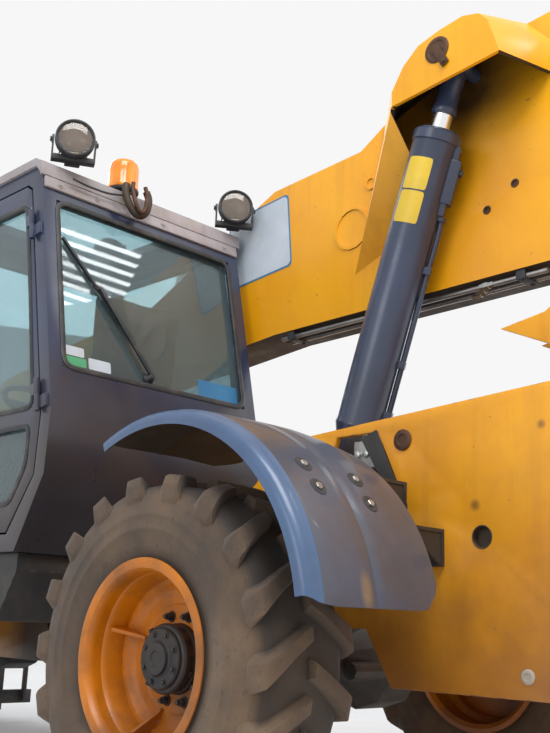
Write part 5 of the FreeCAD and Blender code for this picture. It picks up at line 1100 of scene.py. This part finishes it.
work = bmesh.new()
for start, finish, size in (((0.885, 1.985), (0.585, 1.640), 0.0055), ((0.520, 1.505), (0.735, 1.812), 0.0075)):
    lift = 0.012 if size < 0.006 else 0.026
    a, b = glass_spot(*start, lift), glass_spot(*finish, lift)
    turn = along(a, b)
    span = (b - a).length
    bar(work, (-size, -size * 0.8, 0), (size, size * 0.8, span), turn, 0.0015)
pivot = Matrix.Translation(glass_spot(0.520, 1.500, 0.0)) @ Matrix.Rotation(-math.pi / 2 + 0.22, 4, "Y")
turned(work, [(0, -0.004), (0.022, -0.004), (0.022, 0.010), (0.016, 0.016), (0.012, 0.032), (0.008, 0.036), (0, 0.036)], 24, pivot)
middle = (glass_spot(0.735, 1.812, 0.020))
bar(work, (-0.008, -0.012, -0.008), (0.008, 0.012, 0.008), Matrix.Translation(middle), 0.003)
finished("rear_wiper", to_mesh("rear_wiper", tidy(work)), PLASTIC, "chassis")
work = bmesh.new()
a, b = glass_spot(0.885, 1.985, 0.006), glass_spot(0.585, 1.640, 0.006)
bar(work, (-0.0022, -0.005, 0), (0.0022, 0.005, (b - a).length), along(a, b), 0.0008)
finished("rear_wiper_blade", to_mesh("rear_wiper_blade", tidy(work)), PLASTIC, "chassis")


# Inside the cab: lever and the padded seat

tube("cab_lever", [(REAR + 1.02, 0.150, 1.34), (REAR + 1.02, 0.155, 1.46), (REAR + 1.00, 0.170, 1.56)], 0.009, PLASTIC, "chassis")
work = bmesh.new()
turned(work, [(0, 0), (0.012, 0.002), (0.022, 0.02), (0.026, 0.05), (0.022, 0.08), (0.010, 0.094), (0, 0.095)], 24,
       Matrix.Translation((REAR + 1.000, 0.170, 1.545)) @ Matrix.Rotation(-0.15, 4, "Y"))
finished("cab_lever_knob", to_mesh("cab_lever_knob", tidy(work)), PLASTIC, "chassis")


def apply_modifiers(piece):
    """Bakes the piece's modifiers into its mesh."""
    graph = bpy.context.evaluated_depsgraph_get()
    made = bpy.data.meshes.new_from_object(piece.evaluated_get(graph))
    piece.modifiers.clear()
    piece.data = made


def cushion(name, outline, y, thickness_cap):
    """A seat pad grown from a rounded block: remeshed, blown up under the cloth solver and held to a cap."""
    work = bmesh.new()
    for sign in (-1, 1):
        for x, z in outline:
            work.verts.new((x, y[0] if sign < 0 else y[1], z))
    count = len(outline)
    work.verts.ensure_lookup_table()
    work.faces.new([work.verts[index] for index in range(count)])
    work.faces.new([work.verts[count + index] for index in range(count)])
    for index in range(count):
        after = (index + 1) % count
        work.faces.new([work.verts[index], work.verts[after], work.verts[count + after], work.verts[count + index]])
    bmesh.ops.recalc_face_normals(work, faces=work.faces)
    bmesh.ops.bevel(work, geom=list(work.edges), offset=0.024, segments=4, profile=0.55, affect="EDGES")
    mesh = to_mesh(name, work)
    piece = bpy.data.objects.new(name, mesh)
    bpy.context.scene.collection.objects.link(piece)
    mesh.materials.append(FABRIC)
    bpy.context.view_layer.objects.active = piece
    remesh = piece.modifiers.new("remesh", "REMESH")
    remesh.mode, remesh.voxel_size = "VOXEL", 0.0065
    apply_modifiers(piece)
    rest = [vert.co.copy() for vert in piece.data.vertices]
    cloth = piece.modifiers.new("cloth", "CLOTH")
    settings = cloth.settings
    settings.quality = 4
    settings.mass = 0.3
    settings.tension_stiffness = settings.compression_stiffness = 18
    settings.use_pressure = True
    settings.uniform_pressure_force = 4.0
    settings.effector_weights.gravity = 0.0
    scene = bpy.context.scene
    for step in range(1, 21):
        scene.frame_set(step)
    apply_modifiers(piece)
    scene.frame_set(1)
    for vert, was in zip(piece.data.vertices, rest):
        move = vert.co - was
        if move.length > thickness_cap:
            vert.co = was + move.normalized() * thickness_cap
    for poly in piece.data.polygons:
        poly.use_smooth = True
    finer = piece.modifiers.new("finer", "SUBSURF")
    finer.levels = finer.render_levels = 1
    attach(piece, "chassis")
    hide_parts("seat_cushion")
    return piece


cushion("seat_base_pad", [(REAR + 0.835, 1.205), (REAR + 1.235, 1.205), (REAR + 1.250, 1.262), (REAR + 1.200, 1.288),
                          (REAR + 0.840, 1.268)], (0.255, 0.695), 0.024)
cushion("seat_back_pad", [(REAR + 0.800, 1.325), (REAR + 0.878, 1.325), (REAR + 0.852, 1.560), (REAR + 0.842, 1.830),
                          (REAR + 0.800, 1.868), (REAR + 0.764, 1.830), (REAR + 0.770, 1.560)], (0.270, 0.680), 0.024)


# Fittings on the left frame plate and behind its window

work, fittings = bmesh.new(), bmesh.new()
cap, rusty = bmesh.new(), bmesh.new()
for plug, x, z, radius in ((rusty, REAR - 0.373, 1.203, 0.034), (cap, REAR - 0.800, 0.512, 0.021)):
    spot = Matrix.Translation((x, 0.2858, z)) @ ACROSS
    turned(plug, [(0, -0.001), (radius, -0.001), (radius, 0.004), (radius - 0.003, 0.006), (radius * 0.55, 0.0062),
                  (radius * 0.5, 0.0035), (0, 0.0035)], 36, spot)
finished("plate_pin", to_mesh("plate_pin", tidy(rusty)), RUST, "chassis")
finished("plate_cap", to_mesh("plate_cap", tidy(cap)), PALE_CAP, "chassis")
spot = Matrix.Translation((REAR - 0.660, 0.286, 0.891)) @ ACROSS
turned(work, [(0, -0.0250), (0.0300, -0.0250), (0.0310, 0.001), (0.0318, 0.0018), (0.0335, 0.0018), (0.0345, 0.0)], 40, spot)
finished("plate_hole_liner", to_mesh("plate_hole_liner", tidy(work)), GRIME_AND_SHADE, "chassis")
# A black sheet behind the window and a black sliver on the plate by the window stand in for the shade inside the frame.
work = bmesh.new()
bar(work, (-1.905, 0.1850, 1.090), (-1.548, 0.1890, 1.262), None, 0.001)
outline = [(-1.700, 1.222), (-1.762, 1.246), (-1.851, 1.058), (-1.8870, 1.000), (-1.8870, 0.955), (-1.836, 1.020), (-1.762, 1.120)]
rings = [[work.verts.new((x, y, z)) for x, z in outline] for y in (0.2862, 0.2912)]
work.faces.new(rings[0])
work.faces.new(rings[1])
for here in range(len(outline)):
    after = (here + 1) % len(outline)
    work.faces.new((rings[0][here], rings[0][after], rings[1][after], rings[1][here]))
finished("window_shade_backing", to_mesh("window_shade_backing", tidy(work)), BLACK, "chassis")
bar(fittings, (REAR - 0.262, 0.196, 1.130), (REAR - 0.150, 0.2618, 1.222), None, 0.004)
for x, z in ((REAR - 0.178, 1.226), (REAR - 0.232, 1.226)):
    turned(fittings, [(0, 0), (0.016, 0), (0.016, 0.016), (0.012, 0.018), (0.012, 0.036), (0.009, 0.038), (0, 0.038)], 6,
           Matrix.Translation((x, 0.232, z - 0.006)))
for x, z in ((REAR - 0.170, 1.176), (REAR - 0.206, 1.176), (REAR - 0.242, 1.176)):
    turned(fittings, [(0, 0), (0.013, 0), (0.013, 0.010), (0.009, 0.012), (0, 0.012)], 6, Matrix.Translation((x, 0.2610, z)) @ ACROSS)
finished("valve_block", to_mesh("valve_block", tidy(fittings)), FITTING, "chassis")
for index, (x, drop) in enumerate(((REAR - 0.178, 0.93), (REAR - 0.232, 0.90))):
    tube(f"valve_hose_{index}", [(x, 0.232, 1.256), (x - 0.004, 0.232, 1.272), (x - 0.040, 0.226, 1.276), (x - 0.080, 0.218, 1.220),
                                 (x - 0.090, 0.212, 1.100), (x - 0.070, 0.208, 0.980), (x - 0.050, 0.205, drop)], 0.010, PLASTIC,
         "chassis")


# Engine pod: a dark mesh behind the louvres, latches and hinge bolts

work = bmesh.new()
for index in range(34):
    x = REAR + 0.885 + index * 0.0148
    bar(work, (x, -0.9535, 0.700), (x + 0.003, -0.9505, 1.085))
for index in range(26):
    z = 0.702 + index * 0.0149
    bar(work, (REAR + 0.880, -0.9545, z), (REAR + 1.380, -0.9515, z + 0.003))
finished("pod_mesh", to_mesh("pod_mesh", tidy(work)), BLACK, "chassis")
work = bmesh.new()
for x in (REAR + 0.86, REAR + 1.40):
    bar(work, (x - 0.022, -0.9805, 1.205), (x + 0.022, -0.9745, 1.238), None, 0.002)
    turned(work, [(0, 0), (0.009, 0), (0.009, 0.004), (0, 0.004)], 20,
           Matrix.Translation((x, -0.980, 1.216)) @ ACROSS @ Matrix.Rotation(math.pi, 4, "X"))
finished("pod_latches", to_mesh("pod_latches", tidy(work)), STEEL, "chassis")


# Floor, backdrop, lights and camera

def backdrop_material():
    """Pale floor that keeps the shadow and fades into the background far from the vehicle."""
    surface = Surface("floor", Roughness=0.85)
    surface.colour(surface.mix(surface.ramp(surface.noise(0.8, 4), 0.4, 0.6), (0.80, 0.80, 0.795), (0.76, 0.76, 0.755)))
    surface.bump(0.05, 40, 0.001)
    surface.link(surface.near((0, 0, 0), 12.0), surface.shader.inputs["Alpha"])
    return surface.material


mesh = bpy.data.meshes.new("floor")
mesh.from_pydata([(-40, -40, -0.0006), (40, -40, -0.0006), (40, 40, -0.0006), (-40, 40, -0.0006)], [], [(0, 1, 2, 3)])
mesh.materials.append(backdrop_material())
floor = bpy.data.objects.new("floor", mesh)
bpy.context.scene.collection.objects.link(floor)

world = bpy.data.worlds.new("studio")
bpy.context.scene.world = world
world.use_nodes = True
tree = world.node_tree
plain = tree.nodes["Background"]
plain.inputs["Color"].default_value = (0.80, 0.84, 0.90, 1)
plain.inputs["Strength"].default_value = 0.66
white = tree.nodes.new("ShaderNodeBackground")
white.inputs["Color"].default_value = (0.93, 0.93, 0.93, 1)
white.inputs["Strength"].default_value = 1.0
path = tree.nodes.new("ShaderNodeLightPath")
seen = path.outputs["Is Camera Ray"]
for ray in ("Is Transmission Ray", "Is Glossy Ray"):
    either = tree.nodes.new("ShaderNodeMath")
    either.operation = "MAXIMUM"
    tree.links.new(seen, either.inputs[0])
    tree.links.new(path.outputs[ray], either.inputs[1])
    seen = either.outputs[0]
blend = tree.nodes.new("ShaderNodeMixShader")
tree.links.new(seen, blend.inputs["Fac"])
tree.links.new(plain.outputs[0], blend.inputs[1])
tree.links.new(white.outputs[0], blend.inputs[2])
tree.links.new(blend.outputs[0], tree.nodes["World Output"].inputs["Surface"])


def area(name, place, target, size, power, tint=(1, 1, 1)):
    lamp = bpy.data.lights.new(name, "AREA")
    lamp.shape = "RECTANGLE"
    lamp.size, lamp.size_y = size
    lamp.energy = power
    lamp.color = tint
    piece = bpy.data.objects.new(name, lamp)
    piece.location = place
    piece.rotation_euler = (Vector(target) - Vector(place)).to_track_quat("-Z", "Y").to_euler()
    bpy.context.scene.collection.objects.link(piece)


for index in range(8):
    area(f"hall_lamp_{index}", (-4.15 - index * 0.135, -2.30 - index * 0.05, 6.0), (-4.15 - index * 0.135, -2.30, 0), (0.055, 1.5), 3.6)
for index in range(8):
    area(f"hall_window_{index}", (-4.75 - index * 0.13, -4.60 - index * 0.10, 6.0), (-4.75 - index * 0.13, -4.60, 0), (0.055, 1.3), 4.5,
         (1.0, 0.78, 0.42))
area("key", (-4.6, 2.6, 7.6), (-1.2, 0.2, 1.2), (4.0, 4.0), 460)
area("fill_left", (-2.0, 9.0, 3.6), (-0.8, 0.5, 1.2), (4.0, 3.0), 130, (0.90, 0.94, 1.0))
area("fill_front", (7.0, -3.0, 6.0), (0.0, 0.0, 1.2), (5.0, 4.0), 160)
area("fill_right", (-2.0, -8.0, 5.0), (-0.5, -0.5, 1.2), (5.0, 3.0), 120)

camera_data = bpy.data.cameras.new("camera")
camera_data.sensor_width = 36
camera_data.lens = 49.056
camera_data.clip_end = 200
camera = bpy.data.objects.new("camera", camera_data)
bpy.context.scene.collection.objects.link(camera)
azimuth, pitch, roll = math.radians(-44.99), math.radians(14.21), math.radians(2.10)
forward = Vector((math.cos(azimuth) * math.cos(pitch), math.sin(azimuth) * math.cos(pitch), math.sin(pitch)))
level = forward.cross(Vector((0, 0, 1))).normalized()
rise = level.cross(forward)
right = level * math.cos(roll) + rise * math.sin(roll)
upright = rise * math.cos(roll) - level * math.sin(roll)
turn = Matrix((right, upright, -forward)).transposed().to_4x4()
camera.matrix_world = Matrix.Translation((-3.7798, 2.7808, 0.6384)) @ turn
bpy.context.scene.camera = camera
bpy.context.scene.view_settings.view_transform = "Standard"
